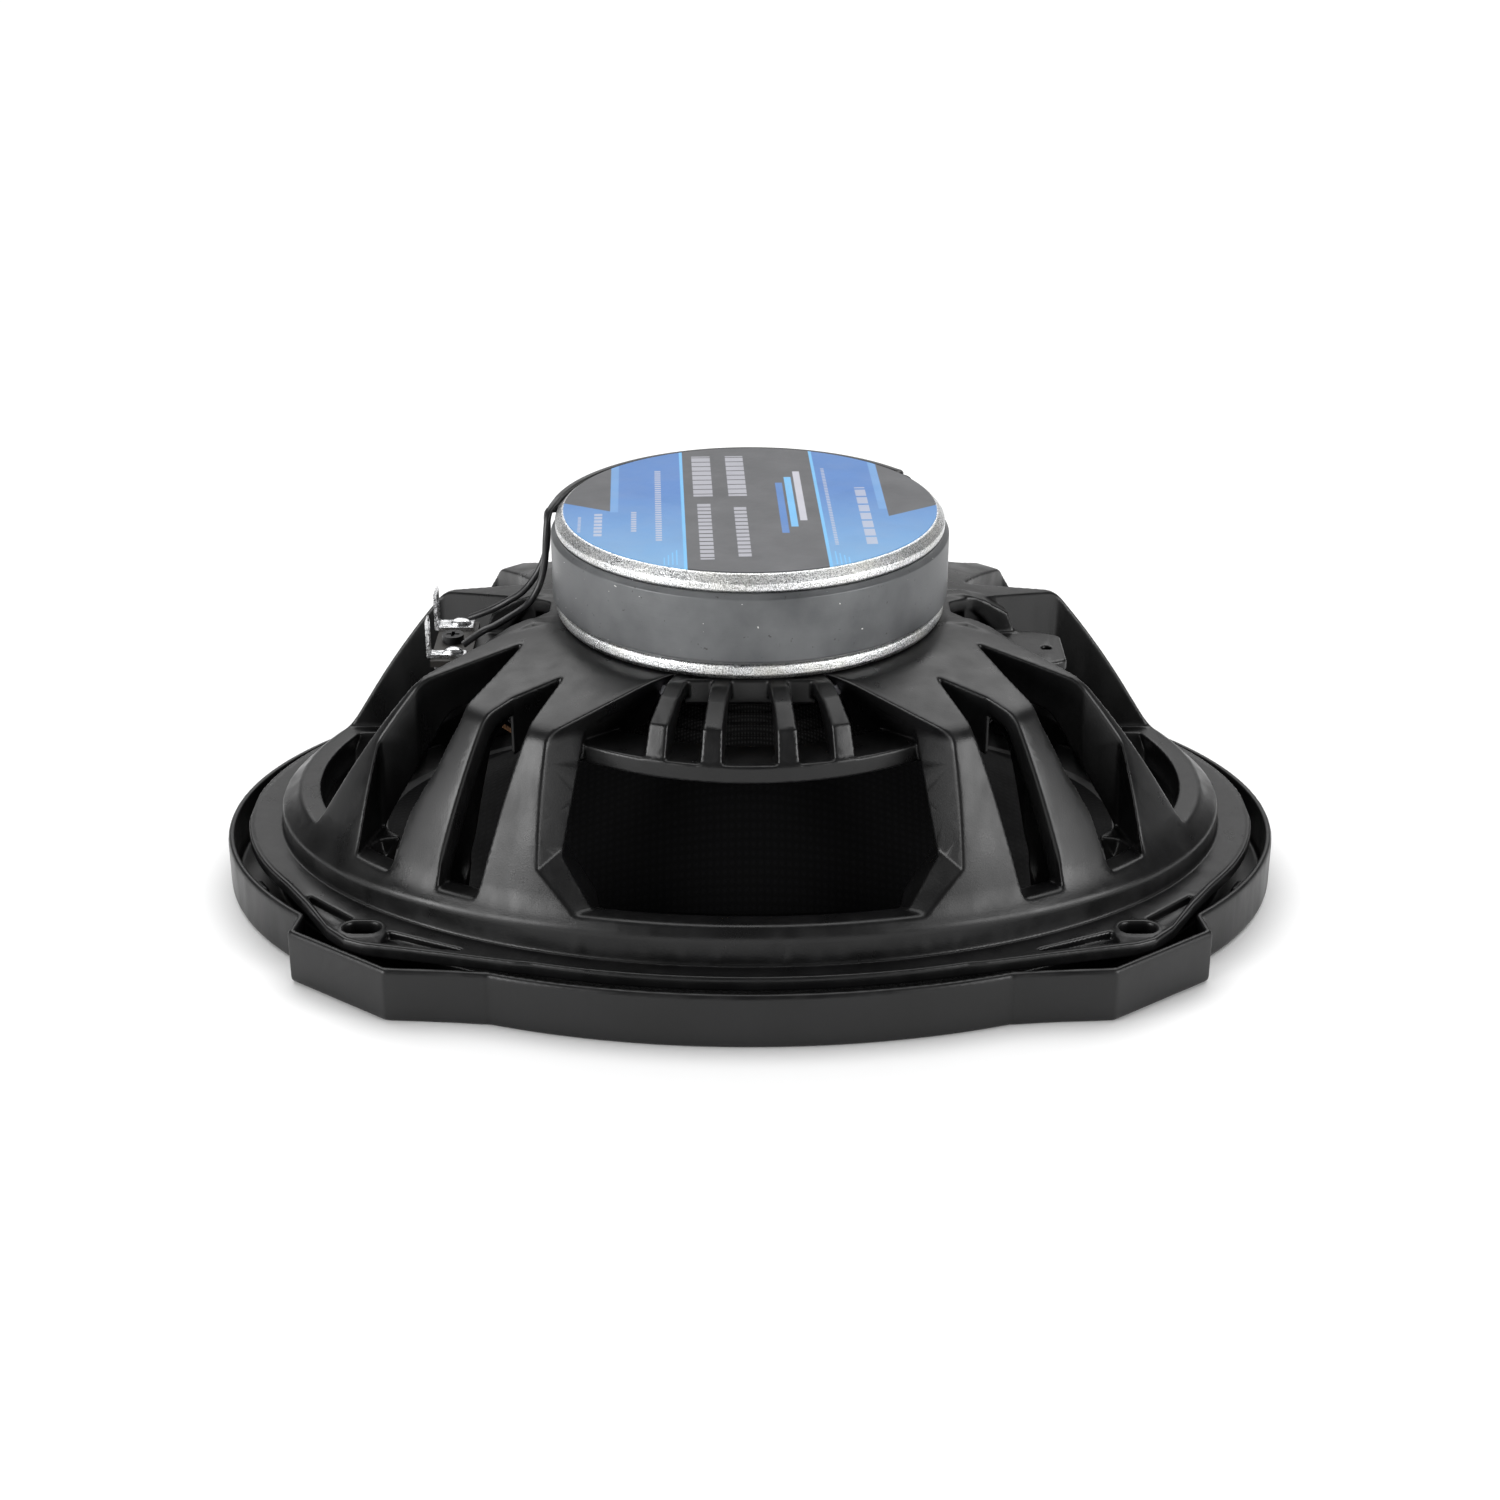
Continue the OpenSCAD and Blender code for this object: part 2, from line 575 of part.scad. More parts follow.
grille_frame();
grille_mesh();
grille_badge();
basket();
front_gasket();
surround();
woofer_cone();
spider();
voice_coil_former();
voice_coil_winding();
clamp_plate();
platform_rivets();
front_plate();
magnet();
back_plate();
rear_label();
pole_post();
driver_bridge();
midrange_magnet();
midrange_frame();
midrange_cone();
midrange_surround();
midrange_dust_cap();
tweeter_housing();
tweeter_magnet();
tweeter_coil();
tweeter_dome();
tweeter_ring();
bridge_screws();
terminal_board();
positive_terminal();
negative_terminal();
terminal_screw();
solder_joints();
lead_positive();
lead_negative();
tinsel_leads();
midrange_capacitor();
tweeter_capacitor();
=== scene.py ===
import json
import math
import bmesh
import bpy
import numpy as np
import openvdb
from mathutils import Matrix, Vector

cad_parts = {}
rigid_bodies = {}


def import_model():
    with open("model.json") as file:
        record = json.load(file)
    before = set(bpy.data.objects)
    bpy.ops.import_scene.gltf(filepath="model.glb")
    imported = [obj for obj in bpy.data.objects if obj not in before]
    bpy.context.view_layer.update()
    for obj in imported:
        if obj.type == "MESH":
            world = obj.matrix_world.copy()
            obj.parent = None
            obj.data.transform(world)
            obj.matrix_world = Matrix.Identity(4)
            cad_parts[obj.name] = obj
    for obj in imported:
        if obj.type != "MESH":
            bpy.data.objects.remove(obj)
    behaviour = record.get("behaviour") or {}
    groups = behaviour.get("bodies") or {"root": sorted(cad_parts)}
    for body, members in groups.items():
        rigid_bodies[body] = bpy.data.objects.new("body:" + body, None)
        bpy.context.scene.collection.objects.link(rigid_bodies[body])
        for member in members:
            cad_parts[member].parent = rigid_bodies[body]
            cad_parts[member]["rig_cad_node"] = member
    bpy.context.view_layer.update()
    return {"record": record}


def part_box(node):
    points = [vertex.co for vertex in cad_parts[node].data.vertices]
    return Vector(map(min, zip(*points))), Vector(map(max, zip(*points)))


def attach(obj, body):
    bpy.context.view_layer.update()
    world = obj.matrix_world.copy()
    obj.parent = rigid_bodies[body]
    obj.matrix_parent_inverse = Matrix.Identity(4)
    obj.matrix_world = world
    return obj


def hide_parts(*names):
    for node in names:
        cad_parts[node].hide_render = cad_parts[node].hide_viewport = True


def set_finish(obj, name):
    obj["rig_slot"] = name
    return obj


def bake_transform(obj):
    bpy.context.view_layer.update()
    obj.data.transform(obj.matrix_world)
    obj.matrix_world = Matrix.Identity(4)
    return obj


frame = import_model()

MM = 0.001
FLOOR_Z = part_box("grille_frame")[0].z
REAR_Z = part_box("back_plate")[1].z
SHELL_TOP = 51.5
BASKET_VOXEL = 0.5
BASKET_FACES = 190000
TRIM_VOXEL = 0.6
TRIM_FACES = 110000
FLAT_FROM = math.radians(65)

# ---- Camera, light and floor ----

camera_data = bpy.data.cameras.new("photo_camera")
camera_data.lens = 61.15
camera_data.sensor_width = 36
camera_data.clip_start = 0.01
camera = bpy.data.objects.new("photo_camera", camera_data)
camera.location = (0, -0.54497, 0.26582)
camera.rotation_euler = (math.radians(65.27), 0, 0)
bpy.context.scene.collection.objects.link(camera)
bpy.context.scene.camera = camera


def soft_box(name, place, size, watts, target=(0, 0, 0.03)):
    """Rectangular area light aimed at the speaker."""
    data = bpy.data.lights.new(name, "AREA")
    data.shape = "RECTANGLE"
    data.size, data.size_y = size
    data.energy = watts
    lamp = bpy.data.objects.new(name, data)
    lamp.location = place
    lamp.rotation_euler = (Vector(target) - Vector(place)).to_track_quat("-Z", "Y").to_euler()
    bpy.context.scene.collection.objects.link(lamp)


# ---- Mesh helpers, in millimetres ----

def mesh_object(name, points, faces, smooth=True):
    """Mesh object from points and faces, with doubled points joined and faces turned outwards."""
    mesh = bpy.data.meshes.new(name)
    mesh.from_pydata([tuple(float(c) * MM for c in p) for p in points], [], faces)
    bm = bmesh.new()
    bm.from_mesh(mesh)
    bmesh.ops.remove_doubles(bm, verts=bm.verts, dist=1e-6)
    bmesh.ops.dissolve_degenerate(bm, edges=bm.edges, dist=1e-7)
    bmesh.ops.recalc_face_normals(bm, faces=bm.faces)
    bm.to_mesh(mesh)
    bm.free()
    piece = bpy.data.objects.new(name, mesh)
    bpy.context.scene.collection.objects.link(piece)
    if smooth:
        shade_smooth(piece)
    return piece


def shade_smooth(piece, angle=32):
    """Smooth shading that keeps edges sharper than the angle."""
    bm = bmesh.new()
    bm.from_mesh(piece.data)
    for face in bm.faces:
        face.smooth = True
    for edge in bm.edges:
        if len(edge.link_faces) == 2:
            edge.smooth = edge.calc_face_angle() < math.radians(angle)
    bm.to_mesh(piece.data)
    bm.free()


def rounded(loop, radius, steps=4):
    """Closed 2-D loop with each corner replaced by an arc of the radius, or less where there is no room."""
    out = []
    count = len(loop)
    for i in range(count):
        before, corner, after = (np.array(loop[(i + k) % count], float) for k in (-1, 0, 1))
        to_before, to_after = before - corner, after - corner
        len_before, len_after = np.linalg.norm(to_before), np.linalg.norm(to_after)
        cosine = np.clip(to_before @ to_after / (len_before * len_after), -1, 1)
        half = math.acos(cosine) / 2
        if half > math.radians(86):
            out.append(tuple(corner))
            continue
        setback = min(radius / math.tan(half), 0.45 * len_before, 0.45 * len_after)
        start = corner + to_before / len_before * setback
        end = corner + to_after / len_after * setback
        for k in range(steps + 1):
            t = k / steps
            out.append(tuple((1 - t) ** 2 * start + 2 * t * (1 - t) * corner + t * t * end))
    return out


def arc(centre, radius, start, end, steps):
    """Points (radius, height) on an arc, angles in degrees."""
    return [(centre[0] + radius * math.cos(math.radians(start + (end - start) * k / steps)),
             centre[1] + radius * math.sin(math.radians(start + (end - start) * k / steps)))
            for k in range(steps + 1)]


def oval_sweep(name, profile, centre=(0, 0), steps=192):
    """Closed ring from a loop of (long semi-axis, short semi-axis, height)."""
    count = len(profile)
    points = []
    for i in range(steps):
        angle = 2 * math.pi * i / steps
        points += [(centre[0] + a * math.cos(angle), centre[1] + b * math.sin(angle), z)
                   for a, b, z in profile]
    faces = [(i * count + k, i * count + (k + 1) % count,
              (i + 1) % steps * count + (k + 1) % count, (i + 1) % steps * count + k)
             for i in range(steps) for k in range(count)]
    return mesh_object(name, points, faces)


def lathe(name, profile, centre=(0, 0), steps=96):
    """Solid of revolution about a line parallel to Z, from a closed loop of (radius, height)."""
    return oval_sweep(name, [(r, r, z) for r, z in profile], centre, steps)


def smooth_path(points, steps=6):
    """Catmull-Rom curve through the points."""
    pts = [np.array(p, float) for p in points]
    pts = [2 * pts[0] - pts[1]] + pts + [2 * pts[-1] - pts[-2]]
    out = []
    for i in range(1, len(pts) - 2):
        p0, p1, p2, p3 = pts[i - 1:i + 3]
        for k in range(steps):
            t = k / steps
            out.append(0.5 * (2 * p1 + (p2 - p0) * t + (2 * p0 - 5 * p1 + 4 * p2 - p3) * t * t
                              + (3 * p1 - p0 - 3 * p2 + p3) * t ** 3))
    out.append(pts[-2])
    return out


def wire(name, route, radius, sides=12):
    """Round wire along a smooth path through the route."""
    path = smooth_path(route)
    points = []
    side = None
    for i, p in enumerate(path):
        along = path[min(i + 1, len(path) - 1)] - path[max(i - 1, 0)]
        along /= np.linalg.norm(along)
        if side is None:
            side = np.cross(along, (0.3, 0.5, 0.81))
        side = side - along * (side @ along)
        side /= np.linalg.norm(side)
        up = np.cross(along, side)
        for k in range(sides):
            a = 2 * math.pi * k / sides
            points.append(p + radius * (math.cos(a) * side + math.sin(a) * up))
    faces = [(i * sides + k, i * sides + (k + 1) % sides,
              (i + 1) * sides + (k + 1) % sides, (i + 1) * sides + k)
             for i in range(len(path) - 1) for k in range(sides)]
    faces += [tuple(range(sides)), tuple((len(path) - 1) * sides + k for k in range(sides))]
    return mesh_object(name, points, faces)


def put(piece, body, slot, cad_node):
    """Places a finished piece on its body, in its material slot and instead of its CAD node."""
    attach(piece, body)
    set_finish(piece, slot)
    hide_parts(cad_node)


def stretch(piece, weight, slot, cad_node):
    """Gives the piece its material slot instead of its CAD node and bakes its place, unparented; a 0..1
    share is worked out from the weight but not used, so the piece neither moves nor bends.
    """
    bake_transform(piece)
    co = np.array([v.co for v in piece.data.vertices], float) / MM
    share = np.clip(weight(co[:, 0], co[:, 1]), 0, 1)
    share = share * share * (3 - 2 * share)
    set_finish(piece, slot)
    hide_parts(cad_node)


# ---- Distance fields, in millimetres, on one quarter that is mirrored to four ----

class Quarter:
    """Grid of points over the quarter x >= 0, y >= 0, in millimetres."""

    def __init__(self, reach_x, reach_y, low, high, voxel):
        self.voxel = voxel
        self.x = np.arange(0.5, reach_x / voxel).astype(np.float32)[:, None, None] * voxel
        self.y = np.arange(0.5, reach_y / voxel).astype(np.float32)[None, :, None] * voxel
        self.z = np.arange(low, high, voxel).astype(np.float32)[None, None, :]
        self.low = low

    def mesh(self, name, field, faces_wanted):
        """Mesh of the surface where the mirrored field is zero, thinned to the faces wanted."""
        half = np.concatenate([field[::-1], field], axis=0)
        full = np.ascontiguousarray(np.concatenate([half[:, ::-1], half], axis=1), dtype=np.float32)
        band = 3 * self.voxel
        full = np.clip(full, -band, band)
        grid = openvdb.FloatGrid(band)
        grid.copyFromArray(full)
        points, triangles, quads = grid.convertToPolygons(isovalue=0.0, adaptivity=0.0)
        origin = np.array([-(field.shape[0] - 0.5), -(field.shape[1] - 0.5), self.low / self.voxel])
        mesh = bpy.data.meshes.new(name)
        loops = np.concatenate([quads.ravel(), triangles.ravel()]).astype(np.int32)
        sizes = np.concatenate([np.full(len(quads), 4), np.full(len(triangles), 3)])
        mesh.vertices.add(len(points))
        places = (points + origin) * self.voxel * MM
        mesh.vertices.foreach_set("co", places.astype(np.float32).ravel())
        mesh.loops.add(len(loops))
        mesh.loops.foreach_set("vertex_index", loops)
        mesh.polygons.add(len(sizes))
        starts = np.concatenate([[0], np.cumsum(sizes)[:-1]])
        mesh.polygons.foreach_set("loop_start", starts.astype(np.int32))
        mesh.update(calc_edges=True)
        piece = bpy.data.objects.new(name, mesh)
        bpy.context.scene.collection.objects.link(piece)
        triangles_now = int(2 * len(quads) + len(triangles))
        if triangles_now > faces_wanted:
            thin = piece.modifiers.new("thin", "DECIMATE")
            thin.ratio = faces_wanted / triangles_now
            apply_modifiers(piece)
        self.field_normals(piece, full, origin)
        return piece

    def field_normals(self, piece, full, origin):
        """Normals from the field's slope, or from the face at a corner where the two differ much."""
        mesh = piece.data
        co = np.empty(len(mesh.vertices) * 3, np.float32)
        mesh.vertices.foreach_get("co", co)
        place = co.reshape(-1, 3) / (self.voxel * MM) - origin
        slope = np.zeros_like(place)
        reach = 0.75
        for axis in range(3):
            shift = np.zeros(3)
            shift[axis] = reach
            slope[:, axis] = sample(full, place + shift) - sample(full, place - shift)
        length = np.linalg.norm(slope, axis=1, keepdims=True)
        slope = slope / np.maximum(length, 1e-9)
        faces = len(mesh.polygons)
        mesh.polygons.foreach_set("use_smooth", np.ones(faces, bool))
        corner_at = np.empty(len(mesh.loops), np.int32)
        mesh.loops.foreach_get("vertex_index", corner_at)
        corners_each = np.empty(faces, np.int32)
        mesh.polygons.foreach_get("loop_total", corners_each)
        flat = np.empty(faces * 3, np.float32)
        mesh.polygons.foreach_get("normal", flat)
        flat = np.repeat(flat.reshape(-1, 3), corners_each, axis=0)
        smooth = slope[corner_at]
        close = np.sum(flat * smooth, axis=1, keepdims=True) > math.cos(FLAT_FROM)
        mesh.normals_split_custom_set(np.where(close, smooth, flat).tolist())


def sample(field, place):
    """Field between its grid points."""
    place = np.clip(place, 0, np.array(field.shape) - 1.001)
    base = place.astype(int)
    part = place - base
    value = 0
    for corner in range(8):
        step = np.array([corner & 1, corner >> 1 & 1, corner >> 2 & 1])
        weight = np.prod(np.where(step, part, 1 - part), axis=1)
        at = base + step
        value = value + weight * field[at[:, 0], at[:, 1], at[:, 2]]
    return value


def apply_modifiers(piece):
    """The piece's mesh with its modifiers applied."""
    bpy.context.view_layer.update()
    shaped = piece.evaluated_get(bpy.context.evaluated_depsgraph_get())
    mesh = bpy.data.meshes.new_from_object(shaped)
    piece.modifiers.clear()
    piece.data = mesh


def join(a, b, blend=0.0):
    """Union of two fields, with a fillet of about the blend."""
    if not blend:
        return np.minimum(a, b)
    h = np.maximum(blend - np.abs(a - b), 0) / blend
    return np.minimum(a, b) - h * h * blend / 4


def meet(a, b, blend=0.0):
    """Intersection of two fields, with its edge rounded."""
    return -join(-a, -b, blend)


def cut(a, b, blend=0.0):
    """Field a without field b."""
    return meet(a, -b, blend)


def polygon(u, v, loop):
    """Signed distance to a closed 2-D loop; u and v are grids that fit each other."""
    u, v = np.broadcast_arrays(u, v)
    best = np.full(u.shape, 1e9, np.float32)
    inside = np.zeros(u.shape, bool)
    count = len(loop)
    for i in range(count):
        (ax, ay), (bx, by) = loop[i], loop[(i + 1) % count]
        ex, ey = bx - ax, by - ay
        wu, wv = u - ax, v - ay
        t = np.clip((wu * ex + wv * ey) / max(ex * ex + ey * ey, 1e-9), 0, 1)
        best = np.minimum(best, (wu - ex * t) ** 2 + (wv - ey * t) ** 2)
        crosses = (ay > v) != (by > v)
        inside ^= crosses & (wu < (v - ay) * ex / (ey if abs(ey) > 1e-9 else 1e-9))
    return np.where(inside, -np.sqrt(best), np.sqrt(best)).astype(np.float32)


def slab(z, low, high):
    """Field of the space between two heights."""
    return np.maximum(low - z, z - high)


def oval_field(x, y, a, b):
    """Rough signed distance to an oval; a and b may vary over the grid."""
    k = np.sqrt((x / a) ** 2 + (y / b) ** 2)
    g = np.sqrt((x / a ** 2) ** 2 + (y / b ** 2) ** 2) / np.maximum(k, 1e-6)
    return (k - 1) / np.maximum(g, 1e-6)


def oval_cone(x, y, z, low, high):
    """Field of a straight-sided oval cone through two ovals, each (long, short, height)."""
    share = (z - low[2]) / (high[2] - low[2])
    a = np.maximum(low[0] + (high[0] - low[0]) * share, 4)
    b = np.maximum(low[1] + (high[1] - low[1]) * share, 4)
    lean = ((low[0] - high[0]) + (low[1] - high[1])) / 2 / (high[2] - low[2])
    return oval_field(x, y, a, b) / math.sqrt(1 + lean * lean)


# ---- Basket ----

# The body's cone, as ovals of (long, short, height), and depths in from its outer face.
FOOT = (109.5, 76.8, 2.0)
BULGE = (90.3, 69.8, 33.0)
KNEE = (80.4, 65.8, 44.5)
PLATFORM = (46.0, 46.0, 51.5)
SKIN = 4.0
FRAME_DEPTH = 12.0
SHELL_LOW = -1.5
STEP_TOP = 0.8
SHELF_Z = (34.8, 39)
TAB_Z = (38, 41)
CLAMP_Z = (30, 48.5)
RIVET_AT = 24.04

# Openings: the side window in (x, z), the others in plan, for one quarter.
SILL = 9.0
SLOT_SILL = SILL - 0.3
UNDERCUT = 0.13

SIDE_WINDOW = [(-43, 54), (-43, 41), (-44.2, 33), (-44.8, 17), (-37, 9),
               (37, 9), (44.8, 17), (44.2, 33), (43, 41), (43, 54)]
INNER_WINDOW = [(-35.5, 54), (-35.5, 41), (-40, 18), (-33.5, 9),
                (33.5, 9), (40, 18), (35.5, 41), (35.5, 54)]
END_PLAN = [(46, -3), (73.6, -26.5), (130, -26.5), (130, 26.5), (73.6, 26.5), (46, 3)]
FIRST_SLOT = [(40.4, 36.5), (51.2, 41.5), (66.4, 55.5), (68, 59.5), (61, 64), (54.6, 59), (47.4, 53)]
SECOND_SLOT = [(50.5, 18.5), (73.7, 28.5), (82.3, 29.5), (87, 43), (80, 50.5), (74.1, 46.5),
               (68, 45.5), (62.3, 43), (56, 31)]
# Where the wall is deep, in plan: the frames round the openings.
BANDS = [
    [(13, 37), (18, 40), (32, 47), (34, 60), (34, 78), (62, 78), (62, 64), (46.5, 50), (40, 42), (26, 34)],
    [(37, 32), (50, 35), (52, 42), (40, 40)],
    [(48, 12), (49, 20), (74, 31.5), (83, 34), (90, 46), (110, 46), (110, 22), (76, 24.5), (50, 4)],
    [(53, 30), (60, 45), (84, 66), (92, 58), (72, 43), (58, 28)],
]
FLANGE = (118.3, 82.3)
EAR = [(103.6, 40), (98, 49), (91.8, 60.2), (87.3, 65.3), (83.3, 67.3), (72, 69.9), (59, 73),
       (50, 75.2)]
POCKETS = [[(99, 43.5), (91.2, 59.2), (86.5, 55.5)], [(78.2, 61.2), (79.2, 66.2), (59.5, 70)]]
TAB = [(56, -10.5), (66, -10.5), (72.5, -7.5), (72.5, 7.5), (66, 10.5), (56, 10.5)]
SLOT_AT = (84.0, 60.0)

# Ribs: profile in (distance out, height), and angles in degrees.
RIB_PROFILE = [(42, 47.5), (42, SHELL_TOP), (47, SHELL_TOP), (52, 49.6), (58, 45.9), (61, 38),
               (57, 38), (52, 44.5), (49, 47.5)]
SIDE_RIBS = (7.8, 19.5)
END_RIB = 10.5


def side_profile(out, z, loop):
    """Field of a profile in (distance out, height), where the distance varies over the plan."""
    step = 0.25
    table_out = np.arange(0, 160, step)
    table = polygon(table_out[:, None], z.reshape(1, -1), loop)
    place = np.clip(out[..., 0] / step, 0, len(table_out) - 2)
    low = place.astype(int)
    share = (place - low)[..., None]
    return table[low] * (1 - share) + table[low + 1] * share


def rib_field(along, across, z, angle, longer=0.0):
    """Kneed rib that leaves the axis at an angle and runs from the platform's edge to the shelf."""
    sine, cosine = math.sin(math.radians(angle)), math.cos(math.radians(angle))
    out = along * cosine + across * sine
    aside = across * cosine - along * sine
    side = side_profile(out - longer, z, rounded(RIB_PROFILE, 0.5))
    return meet(side, np.abs(aside) - 2.0 - 0.03 * (SHELL_TOP - z), 0.5)


def flange_outline():
    """Flange edge round one quarter: the oval, the ear with its slot, and the oval again."""
    def on_oval(first, last):
        return [(FLANGE[0] * math.cos(math.radians(a)), FLANGE[1] * math.sin(math.radians(a)))
                for a in range(first, last, 2)]
    return on_oval(-10, 28) + EAR + on_oval(67, 101) + [(-30, -30)]


def side_window(x, y, z):
    """Field of a side window: upright jambs, feet that slope in, and a wall under the shoulder."""
    jamb = (x - 44.8 - (y - 65.2) - 0.27 * (z - 17)) / 1.44
    foot = 0.342 * (x - 44.8) - 0.6 * (y - 65.2) - 0.724 * (z - 17)
    top_wall = (x - 19 - 1.226 * (y - 41.9) - 0.8 * (SHELL_TOP - z)) / 1.77
    chamfer = join(meet(jamb, foot), polygon(x, z, rounded(INNER_WINDOW, 0.8)))
    window = meet(polygon(x, z, rounded(SIDE_WINDOW, 0.8)), meet(chamfer, top_wall, 0.8), 0.5)
    return np.maximum(window, 34 - y)


def basket_field(grid):
    """Field of the whole moulding: shell, openings, shelf, ribs, tabs, flange and holes."""
    x, y, z = grid.x, grid.y, grid.z
    radius = np.sqrt(x * x + y * y)
    form = meet(oval_cone(x, y, z, FOOT, BULGE), oval_cone(x, y, z, BULGE, KNEE), 2.5)
    form = meet(form, oval_cone(x, y, z, KNEE, PLATFORM), 2.0)
    form = meet(form, z - SHELL_TOP, 1.2)

    bands = polygon(x, y, BANDS[0])
    for band in BANDS[1:]:
        bands = join(bands, polygon(x, y, band), 2.0)
    hollow = meet(form + SKIN, join(form + FRAME_DEPTH, -bands, 1.0))
    shell = cut(form, hollow)
    step = np.maximum(oval_field(x, y, 112, 78.8), -oval_field(x, y, 102, 69))
    step = meet(step, slab(z, SHELL_LOW, STEP_TOP))
    shell = join(meet(shell, SHELL_LOW - z), step, 12.0)
    shell = meet(shell, oval_field(x, y, 110.2, 76.9), 0.6)

    side = side_window(x, y, z)
    end = meet(polygon(x, y, rounded(END_PLAN, 1.5)), SILL - z, 1.0)
    first = meet(polygon(x, y, rounded(FIRST_SLOT, 0.6)), SLOT_SILL - z, 0.8)
    second = polygon(x, y, rounded(SECOND_SLOT, 0.8)) + UNDERCUT * form
    second = meet(second, SLOT_SILL - z, 0.8)
    for opening in (side, end, first, second):
        shell = cut(shell, opening, 0.8)

    shelf = meet(np.maximum(radius - 61, 50 - radius), slab(z, *SHELF_Z), 0.6)
    shell = join(shell, shelf, 0.8)
    for angle in SIDE_RIBS:
        shell = join(shell, rib_field(y, x, z, angle), 0.6)
    shell = join(shell, rib_field(x, y, z, END_RIB, 3.0), 0.6)
    lip = np.maximum(x - 14, np.abs(y - 42.6) - 0.9)
    shell = join(shell, meet(lip, slab(z, 45.5, SHELL_TOP), 0.3), 0.5)
    tab = meet(polygon(x, y, rounded(TAB, 2)), slab(z, *TAB_Z), 0.8)
    shell = join(shell, tab, 1.0)
    shell = meet(shell, z - SHELL_TOP, 0.8)

    flange_plan = polygon(x, y, flange_outline())
    flange = meet(flange_plan, slab(z, -3, 0), 0.5)
    rim = meet(np.abs(flange_plan + 0.6) - 0.4, slab(z, -1, 0.4), 0.4)
    flange = join(flange, rim, 0.4)
    flange = cut(flange, oval_field(x, y, 101, 68))
    for pocket in POCKETS:
        flange = cut(flange, meet(polygon(x, y, rounded(pocket, 0.5)), -2 - z), 0.4)
    shell = join(shell, flange, 0.6)

    along = np.maximum(np.abs(x - SLOT_AT[0]) - 1.5, 0)
    slot = np.sqrt(along ** 2 + (y - SLOT_AT[1]) ** 2)
    shell = join(shell, meet(np.abs(slot - 3.1) - 0.45, slab(z, -2, 0.4), 0.4), 0.3)
    shell = cut(shell, slot - 2.5, 0.4)
    shell = cut(shell, np.sqrt((x - 68.5) ** 2 + y * y) - 1.1, 0.3)
    shell = cut(shell, meet(radius - 21, 40 - z))
    corner = (x + y) / math.sqrt(2)
    octagon = np.maximum(np.maximum(x, y), corner) - 44.6 * math.cos(math.radians(22.5))
    shell = cut(shell, meet(octagon, slab(z, *CLAMP_Z)))
    rivet = np.sqrt((x - RIVET_AT) ** 2 + (y - RIVET_AT) ** 2)
    return cut(shell, meet(rivet - 2, slab(z, 40, 60)))


def make_basket():
    grid = Quarter(118, 83, -5, 54, BASKET_VOXEL)
    basket = grid.mesh("basket_moulding", basket_field(grid), BASKET_FACES)
    put(basket, "chassis", "basket_plastic", "basket")


# ---- Trim ring and grille ----

FRONT = -14.6
LOBE = [(90, 30), (99.5, 49), (100.8, 58.2), (77.8, 75.4), (64.5, 76.3), (56, 77.2), (40, 60)]


def trim_field(grid):
    """Field of the trim ring: outer wall with a lobe at each ear, inner wall and four clips."""
    x, y, z = grid.x, grid.y, grid.z
    outline = join(oval_field(x, y, 123.3, 86.4), polygon(x, y, LOBE), 0.6)
    body = meet(outline, slab(z, FRONT, -1.5), 1.6)
    hollow = meet(outline + 1.6, FRONT + 2 - z, 0.8)
    ring = cut(body, hollow, 0.8)
    ring = cut(ring, meet(oval_field(x, y, 108, 74), slab(z, FRONT - 3, FRONT + 5)), 1.2)
    wall = np.maximum(oval_field(x, y, 112, 78), -oval_field(x, y, 109.5, 75.5))
    ring = join(ring, meet(wall, slab(z, FRONT + 1, -7), 0.4), 0.8)
    clip = np.maximum(np.abs(y - 30.8) - 2.2, np.abs(outline + 2.8) - 1.6)
    return join(ring, meet(clip, slab(z, FRONT + 1, -4.5), 0.6), 0.6)


def make_trim():
    grid = Quarter(126, 89, -17, 1, TRIM_VOXEL)
    trim = grid.mesh("trim_ring", trim_field(grid), TRIM_FACES)
    put(trim, "chassis", "trim_plastic", "grille_frame")


def make_grille():
    """Perforated sheet: a ring of six faces round each hexagonal hole, above and below."""
    low, high = (corner.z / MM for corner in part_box("grille_mesh"))
    pitch = 3.4
    hole = 0.74
    cell_r = pitch / math.sqrt(3)
    points, faces = [], []
    for row in range(-26, 27):
        for column in range(-34, 35):
            cx = (column + 0.5 * (row % 2)) * pitch
            cy = row * pitch * math.sqrt(3) / 2
            if (cx / 110.5) ** 2 + (cy / 76.5) ** 2 > 1:
                continue
            open_cell = (cx / 106.6) ** 2 + (cy / 72.6) ** 2 < 1
            corners = [(math.cos(math.radians(60 * k + 30)), math.sin(math.radians(60 * k + 30)))
                       for k in range(6)]
            first = len(points)
            for z in (low, high):
                for share in (1, hole):
                    for ux, uy in corners:
                        px, py = cx + ux * cell_r * share, cy + uy * cell_r * share
                        k = math.sqrt((px / 109) ** 2 + (py / 75) ** 2)
                        points.append((px / max(k, 1), py / max(k, 1), z))
            for k in range(6):
                n = (k + 1) % 6
                faces.append((first + k, first + n, first + 6 + n, first + 6 + k))
                faces.append((first + 12 + n, first + 12 + k, first + 18 + k, first + 18 + n))
                if open_cell:
                    faces.append((first + 6 + k, first + 6 + n, first + 18 + n, first + 18 + k))
            if not open_cell:
                faces.append(tuple(first + 6 + k for k in range(6)))
                faces.append(tuple(first + 23 - k for k in range(6)))
    sheet = mesh_object("grille_sheet", points, faces, smooth=False)
    put(sheet, "chassis", "grille_steel", "grille_mesh")


